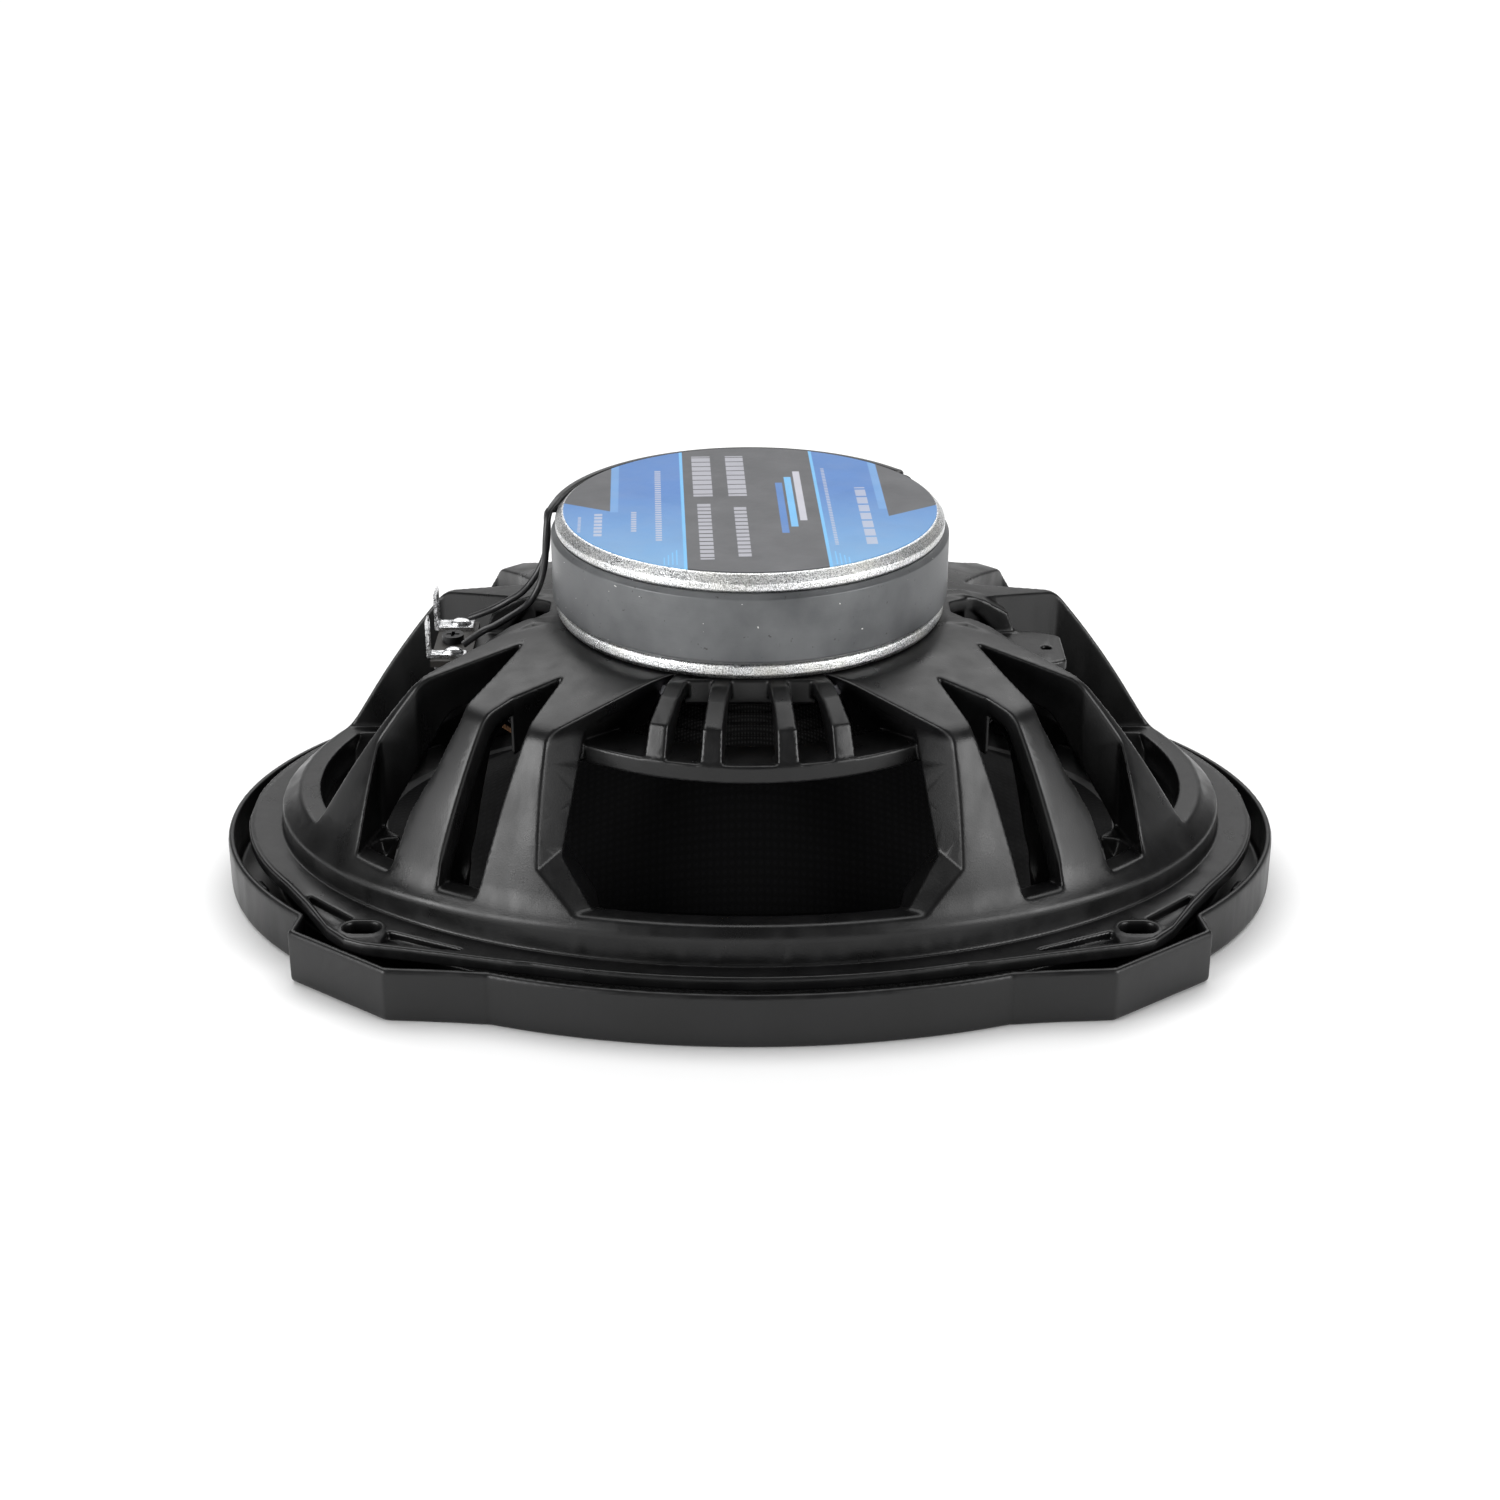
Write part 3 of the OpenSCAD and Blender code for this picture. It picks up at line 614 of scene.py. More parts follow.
def make_badge_and_gasket():
    """Blank badge ring on the grille, and the foam between flange and trim ring."""
    rim = [(-1.25, 0.6), (-1.25, -0.2), (-0.7, -0.6), (0.7, -0.6), (1.25, -0.2), (1.25, 0.6)]
    profile = [(13.75 + d, 6.75 + d, -13.2 + h) for d, h in rounded(rim, 0.35, 3)]
    badge = oval_sweep("badge_ring", profile, steps=96)
    put(badge, "chassis", "badge_metal", "grille_badge")
    section = rounded([(-4, -3.6), (-4, -7), (4, -7), (4, -3.6)], 0.8, 3)
    gasket = oval_sweep("gasket_ring", [(108 + d, 74.5 + d, h) for d, h in section])
    put(gasket, "chassis", "gasket_foam", "front_gasket")


# ---- Soft parts of the woofer ----

def make_surround():
    """Half-roll: a flat landing, a roll that hangs to the front, and an inner lip on the cone."""
    base = -3.0
    thick = 0.6
    centre = 94.5
    outer = [(108 - centre, base), (6.2, base)]
    roll_back = arc((0, base), 5.4, 0, -180, 18)
    inner = [(-6.2, base), (-12.5, base)]
    back = outer + roll_back + inner
    front = [(d, z - thick) for d, z in inner[::-1]]
    front += arc((0, base - 0.1), 6.0, 180, 360, 18)[1:-1]
    front += [(d, z - thick) for d, z in outer[::-1]]
    profile = [(centre + d, centre - 33 + d, z) for d, z in back + front]
    roll = oval_sweep("surround_roll", profile)
    stretch(roll, lambda x, y: 1 - oval_field(x, y, 88.5, 55.5) / 12,
            "surround_rubber", "surround")


def make_cone():
    """Oval cone that turns round at its neck, with a rolled glue edge."""
    steps = 14
    edge = (86, 54, -3)
    neck = (15.5, 15.5, 29.6)
    rear, front = [], []
    for k in range(steps + 1):
        t = k / steps
        sag = 0.9 * math.sin(math.pi * t) * (1 - t)
        rear.append((edge[0] - 4 + (neck[0] + 1.2 - edge[0] + 4) * t - sag,
                     edge[1] - 4 + (neck[1] + 1.2 - edge[1] + 4) * t - sag,
                     edge[2] + 1 + (neck[2] - edge[2] - 1) * t))
        front.append((edge[0] - 4.5 + (neck[0] + 0.6 - edge[0] + 4.5) * t - sag,
                      edge[1] - 4.5 + (neck[1] + 0.6 - edge[1] + 4.5) * t - sag,
                      edge[2] + (neck[2] - 1.2 - edge[2]) * t))
    lip = [(edge[0] - 0.3, edge[1] - 0.3, edge[2] + 0.1), (edge[0], edge[1], edge[2] + 0.25),
           (edge[0] - 0.3, edge[1] - 0.3, edge[2] + 0.45)]
    collar = [(neck[0] + 1.2, neck[1] + 1.2, neck[2] + 0.4), (neck[0], neck[1], neck[2] + 0.4),
              (neck[0], neck[1], neck[2] - 1.2)]
    cone = oval_sweep("woofer_cone_film", lip + rear + collar + front[::-1])
    put(cone, "woofer_voice", "cone_poly", "woofer_cone")


def make_spider():
    """Corrugated disc from the former to the basket's shelf, with a raised landing."""
    inner, flat, outer = 15.5, 51.0, 59.0
    level, thick, waves = 33.2, 0.45, 6
    back = []
    for k in range(97):
        t = k / 96
        back.append((inner + (flat - inner) * t, level + 1.15 * math.sin(2 * math.pi * waves * t)))
    rise = [(flat + 0.4, 34.3), (flat + 1, 34.75), (outer, 34.75)]
    under = [(outer, 34.75 - thick), (flat + 1.2, 34.75 - thick), (flat + 0.6, 34.2 - thick)]
    spider = lathe("spider_cloth_disc", back + rise + under + [(r, z - thick) for r, z in back[::-1]])
    stretch(spider, lambda x, y: 1 - (np.sqrt(x * x + y * y) - 17) / 32,
            "spider_cloth", "spider")


def make_winding():
    """Copper coil, one ridge for each turn."""
    turns = 32
    low, high = 49.0, 57.0
    profile = [(15.46, low)]
    for k in range(turns * 4 + 1):
        t = k / (turns * 4)
        profile.append((15.76 + 0.08 * abs(math.sin(math.pi * turns * t)), low + (high - low) * t))
    profile.append((15.46, high))
    coil = lathe("voice_coil_turns", profile, steps=72)
    put(coil, "woofer_voice", "copper_wire", "voice_coil_winding")


# ---- Motor ----

CHANNEL = math.radians(35)


def cut_or_join(piece, other, operation):
    """Boolean of the piece with another, which is used up."""
    boolean = piece.modifiers.new("boolean", "BOOLEAN")
    boolean.operation = operation
    boolean.object = other
    boolean.solver = "EXACT"
    apply_modifiers(piece)
    bpy.data.objects.remove(other)


def make_motor():
    """Front plate, ferrite ring, and back plate with its pole, lead channel and label."""
    front_z, magnet_low, back_low = SHELL_TOP, 55.0, 71.2
    plate = lathe("front_plate_zinc", rounded(
        [(16.4, front_z), (43.5, front_z), (44.2, front_z + 1.1), (44.2, magnet_low), (16.4, magnet_low)],
        1.0, 5), steps=144)
    put(plate, "chassis", "zinc_steel", "front_plate")

    ring = lathe("magnet_ring", rounded(
        [(24, magnet_low), (43.9, magnet_low), (45, magnet_low + 1.0), (45, back_low - 1.0),
         (43.9, back_low), (24, back_low)], 0.5, 3), steps=144)
    put(ring, "chassis", "ferrite", "magnet")

    top = REAR_Z / MM
    back = lathe("back_plate_zinc", rounded(
        [(3, back_low), (43.4, back_low), (44, back_low + 0.6), (44, top - 1.9), (42.4, top), (3, top)],
        0.9, 5), steps=144)
    pole = lathe("pole_blank", rounded(
        [(3, 51), (14.0, 51), (14.7, 51.7), (14.7, back_low + 1), (3, back_low + 1)], 0.4, 2), steps=96)
    for out, height, size in ((45, top, (70, 4, 4)), (47, top - 1, (8.8, 6.4, 12))):
        bpy.ops.mesh.primitive_cube_add(size=MM)
        cutter = bpy.context.object
        cutter.scale = size
        cutter.rotation_euler = (0, 0, CHANNEL)
        cutter.location = (out * math.cos(CHANNEL) * MM, out * math.sin(CHANNEL) * MM, height * MM)
        cut_or_join(back, cutter, "DIFFERENCE")
    cut_or_join(back, pole, "UNION")
    shade_smooth(back)
    put(back, "chassis", "zinc_steel", "back_plate")

    sticker = lathe("rear_label_disc", [
        (0, top), (42.1, top), (42.1, top + 0.12), (42.02, top + 0.2), (0, top + 0.2)], steps=144)
    put(sticker, "chassis", "label", "rear_label")


# ---- Terminals and leads ----

def terminal_piece(name, y, width):
    """Bent strip: a foot on the board and a blade with a hole, in one outline swept across its width."""
    outline = rounded([(-64.5, 42.5), (-64.5, 43.3), (-72.7, 43.3), (-72.7, 51.2), (-72.9, 51.8),
                       (-73.3, 51.8), (-73.5, 51.2), (-73.5, 42.5)], 0.5, 4)
    count = len(outline)
    points = [(x, y + side * width / 2, z) for side in (-1, 1) for x, z in outline]
    faces = [tuple(range(count)), tuple(count + k for k in range(count))]
    faces += [(k, (k + 1) % count, count + (k + 1) % count, count + k) for k in range(count)]
    piece = mesh_object(name, points, faces, smooth=False)
    bpy.ops.mesh.primitive_cylinder_add(radius=0.75 * MM, depth=4 * MM, vertices=32)
    cutter = bpy.context.object
    cutter.location = (-73.1 * MM, y * MM, 48.6 * MM)
    cutter.rotation_euler = (0, math.pi / 2, 0)
    cut_or_join(piece, cutter, "DIFFERENCE")
    shade_smooth(piece, 30)
    return piece


def solder_blob(y, seed):
    """Uneven dome of solder on a terminal's foot."""
    random = np.random.RandomState(seed)
    lobes = [(random.uniform(-1, 1, 3), random.uniform(-0.2, 0.35)) for _ in range(16)]
    bpy.ops.mesh.primitive_ico_sphere_add(subdivisions=5, radius=1)
    blob = bpy.context.object
    for vertex in blob.data.vertices:
        way = vertex.co.normalized()
        size = 1.45
        for centre, weight in lobes:
            size += weight * math.exp(-12 * (1 - way.dot(Vector(centre).normalized())))
        size = min(size, 1.88)
        height = 43.2 + max(way.z, 0) * size * 0.98
        vertex.co = Vector((-67.6 + way.x * size * 1.7, y + way.y * size * 1.05, height)) * MM
    blob.name = f"solder_blob_{seed}"
    shade_smooth(blob, 60)
    return blob


GROOVE_R = 44.9
CHANNEL_Z = 74.2
LEADS = {
    "lead_positive": dict(
        rise=[(-65.3, 8.4, 45), (-61.6, 6.8, 47), (-58.7, 5.4, 48.8), (-55.7, 4.7, 50.8),
              (-52.9, 4.6, 52.6), (-50.6, 5, 55), (-48.4, 5.5, 58.4), (-46.9, 5.8, 62.4),
              (-46.4, 6.1, 67), (-46.2, 6.6, 71.6)],
        height=72.1, last=35, side=-1,
        turn=[(44.9, -0.6, 72.2), (44.5, -1.2, 73.2), (42.6, -1, CHANNEL_Z)]),
    "lead_negative": dict(
        rise=[(-65.3, -8.4, 45), (-61.1, -6.3, 47.4), (-58.5, -4.4, 48), (-55.2, -2, 49.2),
              (-51.4, 0, 51.2), (-49.2, 1, 54), (-47.7, 1.5, 57.5), (-46.8, 1.8, 62),
              (-46.4, 2.2, 67.5), (-45.8, 4, 72.2)],
        height=73.9, last=40, side=1, turn=[(44.6, 2, 74.0), (42.6, 1, CHANNEL_Z)]),
}


def by_channel(r, side, z):
    """Point at a distance out along the back plate's channel, and to one side of it."""
    along_x, along_y = math.cos(CHANNEL), math.sin(CHANNEL)
    return r * along_x - side * along_y, r * along_y + side * along_x, z


def make_lead(name):
    """Feed lead from its terminal, up beside the magnet, round its far side and down the pole."""
    part = LEADS[name]
    side = part["side"]
    route = list(part["rise"])
    for degrees in range(170, part["last"] - 1, -5):
        angle = math.radians(degrees)
        route.append((GROOVE_R * math.cos(angle), GROOVE_R * math.sin(angle), part["height"]))
    route += [by_channel(*point) for point in part["turn"]]
    route += [by_channel(r, side, CHANNEL_Z) for r in range(40, 7, -4)]
    route += [by_channel(4.4, side, CHANNEL_Z), by_channel(2.4, side, 74.1),
              by_channel(1.3, side * 0.95, 73.2), by_channel(1, side * 0.9, 71.8)]
    route += [by_channel(0, side * 0.9, z) for z in range(68, 2, -8)]
    lead = wire(name + "_wire", route, 0.8)
    put(lead, "chassis", "wire_sleeve", name)


def make_tinsel():
    """Braided leads between the terminals and the cone, baked in place."""
    route = [(-64, 37.6), (-64, 34), (-62.6, 30), (-59.6, 26), (-56, 23), (-52, 21), (-48.6, 19.4),
             (-46.8, 17.4), (-46.2, 15.6)]
    for name, y in (("tinsel_braid_near", -6), ("tinsel_braid_far", 6)):
        braid = wire(name, [(x, y, z) for x, z in route], 0.55, 10)
        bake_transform(braid)
        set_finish(braid, "tinsel")
        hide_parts("tinsel_leads")


def make_capacitor(name, y, cad_node):
    """Shrink-sleeved can lying along X: crimp groove near one end and a vent disc in the other."""
    profile = [(0, 0), (2.5, 0), (2.75, 0.15), (3, 0.5), (3, 1.6), (2.72, 2.0), (3, 2.4), (3, 11.5),
               (2.75, 11.85), (2.3, 12), (2.2, 11.85), (0, 11.85)]
    can = lathe(name, profile, steps=48)
    for vertex in can.data.vertices:
        out, across, along = vertex.co
        vertex.co = (along - 3 * MM, y * MM + across, 4.5 * MM - out)
    can.data.update()
    put(can, "chassis", "cap_sleeve", cad_node)


# ---- Pods of the small drivers ----

MID_X, TWEETER_X, CUP_FRONT, BRIDGE_Z = -27, 22, -9.5, -1


def dome_shell(radius, centre_z, rise, share, inset):
    """Profile of a thin dome that points to the front."""
    angles = [math.radians(a) for a in range(0, 91, 9)]
    crown = [(radius * math.sin(a), centre_z - rise * math.cos(a)) for a in angles]
    return crown + [(r * share, z + inset) for r, z in crown][::-1]


def make_midrange():
    """Paper cone, rolled edge and dust cap."""
    centre = (MID_X, 0)
    shares = [k / 10 for k in range(11)]
    rings = [(14.8 - 9.2 * t - 0.5 * math.sin(math.pi * t), CUP_FRONT + 1.6 + 5.5 * t) for t in shares]
    neck = [(5.2, BRIDGE_Z - 2.0), (5.2, BRIDGE_Z + 3), (5.6, BRIDGE_Z + 3), (5.6, BRIDGE_Z - 2.2)]
    back = [(r + 0.6, z) for r, z in rings]
    cone = lathe("midrange_paper_cone", rings + neck + back[::-1], centre)
    put(cone, "midrange_voice", "small_cone", "midrange_cone")

    front = [(14.9, 1.1), (15.9, 1.0), (16.4, 0.4), (17.1, 0.05), (17.9, 0.3), (18.6, 0.4), (20.4, 0.4)]
    rear = [(20.4, 0.78), (18.5, 0.78), (17.8, 0.7), (17.1, 0.45), (16.6, 0.75), (16.0, 1.5), (14.9, 1.55)]
    profile = [(r, CUP_FRONT + z) for r, z in front + rear]
    edge = lathe("midrange_roll", rounded(profile, 0.15, 2), centre)
    stretch(edge, lambda x, y: 1 - (np.hypot(x - MID_X, y) - 15) / 2.6,
            "surround_rubber", "midrange_surround")

    cap = lathe("midrange_cap_dome", dome_shell(5.8, BRIDGE_Z - 3.9, 2.1, 0.93, 0.35), centre, 64)
    put(cap, "midrange_voice", "dome_metal", "midrange_dust_cap")


def make_tweeter():
    """Dome and the ring round it."""
    centre = (TWEETER_X, 0)
    dome = lathe("tweeter_dome_film", dome_shell(6.5, CUP_FRONT + 4, 2.8, 0.95, 0.25), centre, 64)
    put(dome, "tweeter_voice", "dome_metal", "tweeter_dome")
    profile = [(10.6, 0), (10.6, -0.4), (11.2, -0.8), (12.1, -0.8), (12.5, -0.4), (12.5, 0)]
    ring = lathe("tweeter_trim_ring", rounded([(r, CUP_FRONT + z) for r, z in profile], 0.3, 3), centre, 72)
    put(ring, "chassis", "dome_metal", "tweeter_ring")


# ---- Materials ----

class Shader:
    """Node material built step by step; sizes in it are in metres."""

    def __init__(self, name, colour, roughness, metallic=0.0, coat=0.0, specular=0.5):
        self.material = bpy.data.materials.new(name)
        self.material.use_nodes = True
        self.tree = self.material.node_tree
        self.surface = self.tree.nodes["Principled BSDF"]
        self.surface.inputs["Base Color"].default_value = (*colour, 1)
        self.surface.inputs["Roughness"].default_value = roughness
        self.surface.inputs["Metallic"].default_value = metallic
        self.surface.inputs["Coat Weight"].default_value = coat
        self.surface.inputs["Coat Roughness"].default_value = 0.12
        self.surface.inputs["Specular IOR Level"].default_value = specular
        self.place = self.tree.nodes.new("ShaderNodeTexCoord").outputs["Object"]

    def link(self, value, socket):
        if isinstance(value, (int, float)):
            socket.default_value = value
        elif isinstance(value, tuple):
            socket.default_value = (*value, 1)
        else:
            self.tree.links.new(value, socket)

    def math(self, operation, a, b=0.0, clamp=False):
        node = self.tree.nodes.new("ShaderNodeMath")
        node.operation = operation
        node.use_clamp = clamp
        self.link(a, node.inputs[0])
        self.link(b, node.inputs[1])
        return node.outputs[0]

    def scaled(self, x, y, z):
        """Place stretched along the axes."""
        node = self.tree.nodes.new("ShaderNodeMapping")
        self.tree.links.new(self.place, node.inputs["Vector"])
        node.inputs["Scale"].default_value = (x, y, z)
        return node.outputs[0]

    def noise(self, size, detail=2.0, place=None, roughness=0.5):
        node = self.tree.nodes.new("ShaderNodeTexNoise")
        self.tree.links.new(place or self.place, node.inputs["Vector"])
        node.inputs["Scale"].default_value = 1 / size
        node.inputs["Detail"].default_value = detail
        node.inputs["Roughness"].default_value = roughness
        return node.outputs["Fac"]

    def cells(self, size, output="Color"):
        node = self.tree.nodes.new("ShaderNodeTexVoronoi")
        self.tree.links.new(self.place, node.inputs["Vector"])
        node.inputs["Scale"].default_value = 1 / size
        return node.outputs[output]

    def ramp(self, value, low, high, start=0.0, end=1.0):
        """Value from low..high turned into start..end."""
        node = self.tree.nodes.new("ShaderNodeMapRange")
        self.link(value, node.inputs["Value"])
        node.inputs["From Min"].default_value = low
        node.inputs["From Max"].default_value = high
        node.inputs["To Min"].default_value = start
        node.inputs["To Max"].default_value = end
        return node.outputs["Result"]

    def swing(self, value, start=0.0, end=1.0):
        """Noise, which stays mostly between 0.3 and 0.7, turned into start..end."""
        return self.ramp(value, 0.3, 0.7, start, end)

    def blend(self, share, a, b):
        node = self.tree.nodes.new("ShaderNodeMix")
        node.data_type = "RGBA"
        self.link(share, node.inputs[0])
        self.link(a, node.inputs[6])
        self.link(b, node.inputs[7])
        return node.outputs[2]

    def colour(self, value):
        self.link(value, self.surface.inputs["Base Color"])

    def roughness(self, value):
        self.link(value, self.surface.inputs["Roughness"])

    def bump(self, height, depth, strength=1.0):
        node = self.tree.nodes.new("ShaderNodeBump")
        node.inputs["Strength"].default_value = strength
        node.inputs["Distance"].default_value = depth
        self.link(height, node.inputs["Height"])
        before = self.surface.inputs["Normal"]
        if before.links:
            self.tree.links.new(before.links[0].from_socket, node.inputs["Normal"])
        self.tree.links.new(node.outputs["Normal"], before)


def moulded(name, grey, roughness, grain=0.00035, depth=0.00002):
    """Satin moulded plastic: fine grain, faint flow marks and uneven sheen."""
    s = Shader(name, (grey, grey, grey * 1.06), roughness, specular=0.38)
    flow = s.noise(0.018, 4)
    smear = s.noise(0.006, 3, s.scaled(1, 1, 0.3))
    s.colour(s.blend(s.swing(flow), (grey * 0.8,) * 3, (grey * 1.25, grey * 1.25, grey * 1.35)))
    s.roughness(s.swing(smear, roughness - 0.07, roughness + 0.09))
    s.bump(s.noise(grain, 2), depth)
    s.bump(s.noise(0.004, 2), 0.00003, 0.5)
    return s.material


def satin(name, colour, roughness, patch, sheen, grain, depth, metallic=0.0):
    """One colour with patches of uneven sheen and a fine grain."""
    s = Shader(name, colour, roughness, metallic=metallic)
    s.roughness(s.swing(s.noise(patch, 3), *sheen))
    s.bump(s.noise(grain, 2), depth)
    return s.material


def brushed(name, colour, roughness, grain):
    """Brushed metal, with its fine lines drawn out along the axis where the grain is small."""
    s = Shader(name, colour, roughness, metallic=1.0)
    lines = s.noise(0.0004, 3, s.scaled(*grain))
    s.roughness(s.swing(lines, roughness - 0.08, roughness + 0.12))
    s.bump(lines, 0.00001)
    return s.material


def foam():
    s = Shader("gasket_foam", (0.02, 0.02, 0.021), 0.9)
    s.colour(s.blend(s.cells(0.0009, "Distance"), (0.03, 0.03, 0.031), (0.01, 0.01, 0.01)))
    s.bump(s.cells(0.0009, "Distance"), 0.0002)
    return s.material


def rubber():
    s = Shader("surround_rubber", (0.018, 0.018, 0.018), 0.6)
    s.colour(s.blend(s.ramp(s.noise(0.012, 4), 0.4, 0.7), (0.014, 0.014, 0.014), (0.03, 0.03, 0.031)))
    s.roughness(s.swing(s.noise(0.004, 3), 0.5, 0.72))
    s.bump(s.noise(0.0006, 2), 0.00002)
    return s.material


def woven(name, dark, light, roughness, pitch, depth):
    """Cloth or woven-look film: two crossed sets of threads."""
    s = Shader(name, dark, roughness, specular=0.1)
    threads = []
    for direction in ("X", "Y"):
        node = s.tree.nodes.new("ShaderNodeTexWave")
        s.tree.links.new(s.place, node.inputs["Vector"])
        node.bands_direction = direction
        node.inputs["Scale"].default_value = 0.314 / pitch
        node.inputs["Distortion"].default_value = 0.3
        threads.append(node.outputs["Fac"])
    weave = s.math("MULTIPLY", threads[0], threads[1])
    s.colour(s.blend(weave, dark, light))
    s.roughness(s.swing(s.noise(0.01, 3), roughness - 0.05, roughness + 0.08))
    s.bump(weave, depth)
    return s.material


def turned(name, colour, pitch, roughness, metallic):
    """Rings along Z, for wire and film on a former."""
    s = Shader(name, colour, roughness, metallic=metallic)
    wave = s.tree.nodes.new("ShaderNodeTexWave")
    s.tree.links.new(s.place, wave.inputs["Vector"])
    wave.bands_direction = "Z"
    wave.inputs["Scale"].default_value = 0.314 / pitch
    s.colour(s.blend(s.noise(0.003, 3), colour, tuple(c * 0.6 for c in colour)))
    s.bump(wave.outputs["Fac"], 0.00004)
    return s.material


def zinc():
    """Bright zinc on a rough blank: specks painted bright and dark into the colour as painted glints, the
    same noise raised as a real fine grain, soft smears and a few stained spots.
    """
    s = Shader("zinc_steel", (0.72, 0.74, 0.75), 0.3, metallic=1.0)
    grain = s.noise(0.0003, 2, roughness=0.6)
    patch = s.noise(0.009, 4)
    stain = s.noise(0.014, 5, roughness=0.7)
    # Painted glints: the grain noise paints the metal colour dark or bright in small specks, standing in
    # for sparkle; the same noise also drives the real bump grain below.
    metal = s.blend(s.ramp(grain, 0.36, 0.58), (0.24, 0.25, 0.255), (0.95, 0.955, 0.96))
    tinted = s.blend(s.ramp(patch, 0.45, 0.75, 0, 0.5), metal, (0.6, 0.58, 0.5))
    s.colour(s.blend(s.ramp(stain, 0.66, 0.74), tinted, (0.3, 0.2, 0.12)))
    s.roughness(s.swing(patch, 0.24, 0.4))
    s.bump(grain, 0.00014)
    s.bump(s.noise(0.0025, 2), 0.00012)
    return s.material


def ferrite():
    """Ground ferrite: grinding lines round the ring, cloudy sheen, dark pores and pale chips."""
    s = Shader("ferrite", (0.13, 0.135, 0.14), 0.42, metallic=0.35, specular=0.6)
    cloud = s.noise(0.012, 5)
    lines = s.noise(0.0012, 3, s.scaled(0.15, 0.15, 3.0))
    pores = s.noise(0.0016, 2, roughness=0.8)
    base = s.blend(s.swing(cloud), (0.065, 0.068, 0.072), (0.13, 0.134, 0.138))
    pored = s.blend(s.ramp(pores, 0.68, 0.74), base, (0.05, 0.05, 0.05))
    chips = s.ramp(s.noise(0.0013, 1, s.scaled(1, 1, 1.4)), 0.78, 0.8)
    s.colour(s.blend(chips, pored, (0.6, 0.6, 0.58)))
    s.roughness(s.swing(cloud, 0.34, 0.52))
    s.bump(lines, 0.00003)
    s.bump(s.noise(0.0005, 2), 0.00001)
    return s.material


def raw_steel():
    s = Shader("raw_steel", (0.35, 0.36, 0.38), 0.5, metallic=0.8)
    rough = s.noise(0.0009, 4, roughness=0.7)
    s.colour(s.blend(rough, (0.2, 0.2, 0.22), (0.5, 0.5, 0.53)))
    s.roughness(s.swing(rough, 0.42, 0.65))
    s.bump(rough, 0.00008)
    return s.material


def printed_label():
    """Gloss label: a dark band between two blue panels, with blank bars and hairlines, no lettering."""
    s = Shader("label", (0.05, 0.17, 0.45), 0.36, coat=0.15)
    turn = s.tree.nodes.new("ShaderNodeMapping")
    s.tree.links.new(s.place, turn.inputs["Vector"])
    turn.inputs["Rotation"].default_value = (0, 0, math.radians(-2.3))
    turn.inputs["Scale"].default_value = (1000, 1000, 1000)
    split = s.tree.nodes.new("ShaderNodeSeparateXYZ")
    s.tree.links.new(turn.outputs[0], split.inputs[0])
    u, v = split.outputs["X"], split.outputs["Y"]

    def over(value, edge):
        return s.ramp(value, edge - 0.06, edge + 0.06)

    def span(value, low, high):
        return s.math("SUBTRACT", over(value, low), over(value, high), clamp=True)

    def area(u_low, u_high, v_low, v_high):
        return s.math("MULTIPLY", span(u, u_low, u_high), span(v, v_low, v_high))

    def sloped(slope, u_at, v_at):
        """1 on the far side of a sloping line through a point."""
        line = s.math("MULTIPLY", s.math("SUBTRACT", u, u_at), slope)
        return over(s.math("SUBTRACT", v, line), v_at)

    def dashes(pitch, share):
        """Blank blocks along the label's print, with gaps between them."""
        step = s.math("FRACT", s.math("DIVIDE", s.math("ADD", v, 100.0), pitch))
        return s.math("LESS_THAN", step, share)

    dark, pale = (0.062, 0.064, 0.07), (0.5, 0.5, 0.56)
    blue, light_blue, cyan = (0.05, 0.18, 0.48), (0.12, 0.3, 0.6), (0.14, 0.45, 0.78)
    pale_blue = (0.15, 0.36, 0.62)
    picture = s.blend(s.ramp(v, -40, 10), pale_blue, blue)
    for u_low, u_high in ((-31.5, -29.7), (28.9, 30.7)):
        picture = s.blend(area(u_low, u_high, -3, 60), picture, light_blue)
    left = s.math("MULTIPLY", span(u, -60, -31.5), sloped(-0.56, -31.5, -2.4))
    right = s.math("MULTIPLY", span(u, 30.7, 60), sloped(0.63, 31.0, -7.8))
    for patch in (left, right):
        picture = s.blend(patch, picture, dark)
    picture = s.blend(span(u, -14.8, 15.4), picture, dark)
    for u_low in (-15.5, 15.4):
        picture = s.blend(span(u, u_low, u_low + 0.7), picture, cyan)
    for k in range(4):
        picture = s.blend(area(-17.1 - 0.9 * k, -16.8 - 0.9 * k, -37, -28 - 1.5 * k), picture, cyan)
        picture = s.blend(area(17.0 + 0.9 * k, 17.3 + 0.9 * k, -38, -30 - 1.2 * k), picture, cyan)
    # Bars of blank print: sides, ends, pitch of the dashes and their share of it.
    bars = [
        (-21.4, -20.0, -22, 26, 1.5, 0.66), (-26.8, -25.6, -16, -3, 1.5, 0.7),
        (-35.0, -33.2, -19, -4, 2.2, 0.72), (-38.6, -37.9, -16, -6, 0.9, 0.6),
        (-12.6, -8.2, 7, 36, 3.3, 0.84), (-4.6, -0.4, 7, 36, 3.3, 0.84),
        (-11.9, -8.9, -34, 2, 2.5, 0.74), (-3.7, -0.9, -33, 0, 2.5, 0.74),
        (17.5, 18.3, -26, 26, 1.1, 0.62), (24.4, 26.8, -26, 12, 5.3, 0.82),
    ]
    for *extent, pitch, share in bars:
        print_at = s.math("MULTIPLY", area(*extent), dashes(pitch, share))
        picture = s.blend(s.math("MULTIPLY", print_at, 0.7), picture, pale)
    for k, tone in enumerate((blue, cyan, pale)):
        picture = s.blend(area(6.4 + 2.2 * k, 8.0 + 2.2 * k, -18 + 4 * k, 16 + 4 * k), picture, tone)
    s.colour(s.blend(s.ramp(s.noise(0.01, 4), 0.4, 0.8, 0, 0.12), picture, (0.3, 0.3, 0.32)))
    s.roughness(s.swing(s.noise(0.006, 4), 0.28, 0.42))
    s.bump(s.noise(0.006, 3), 0.00003)
    return s.material


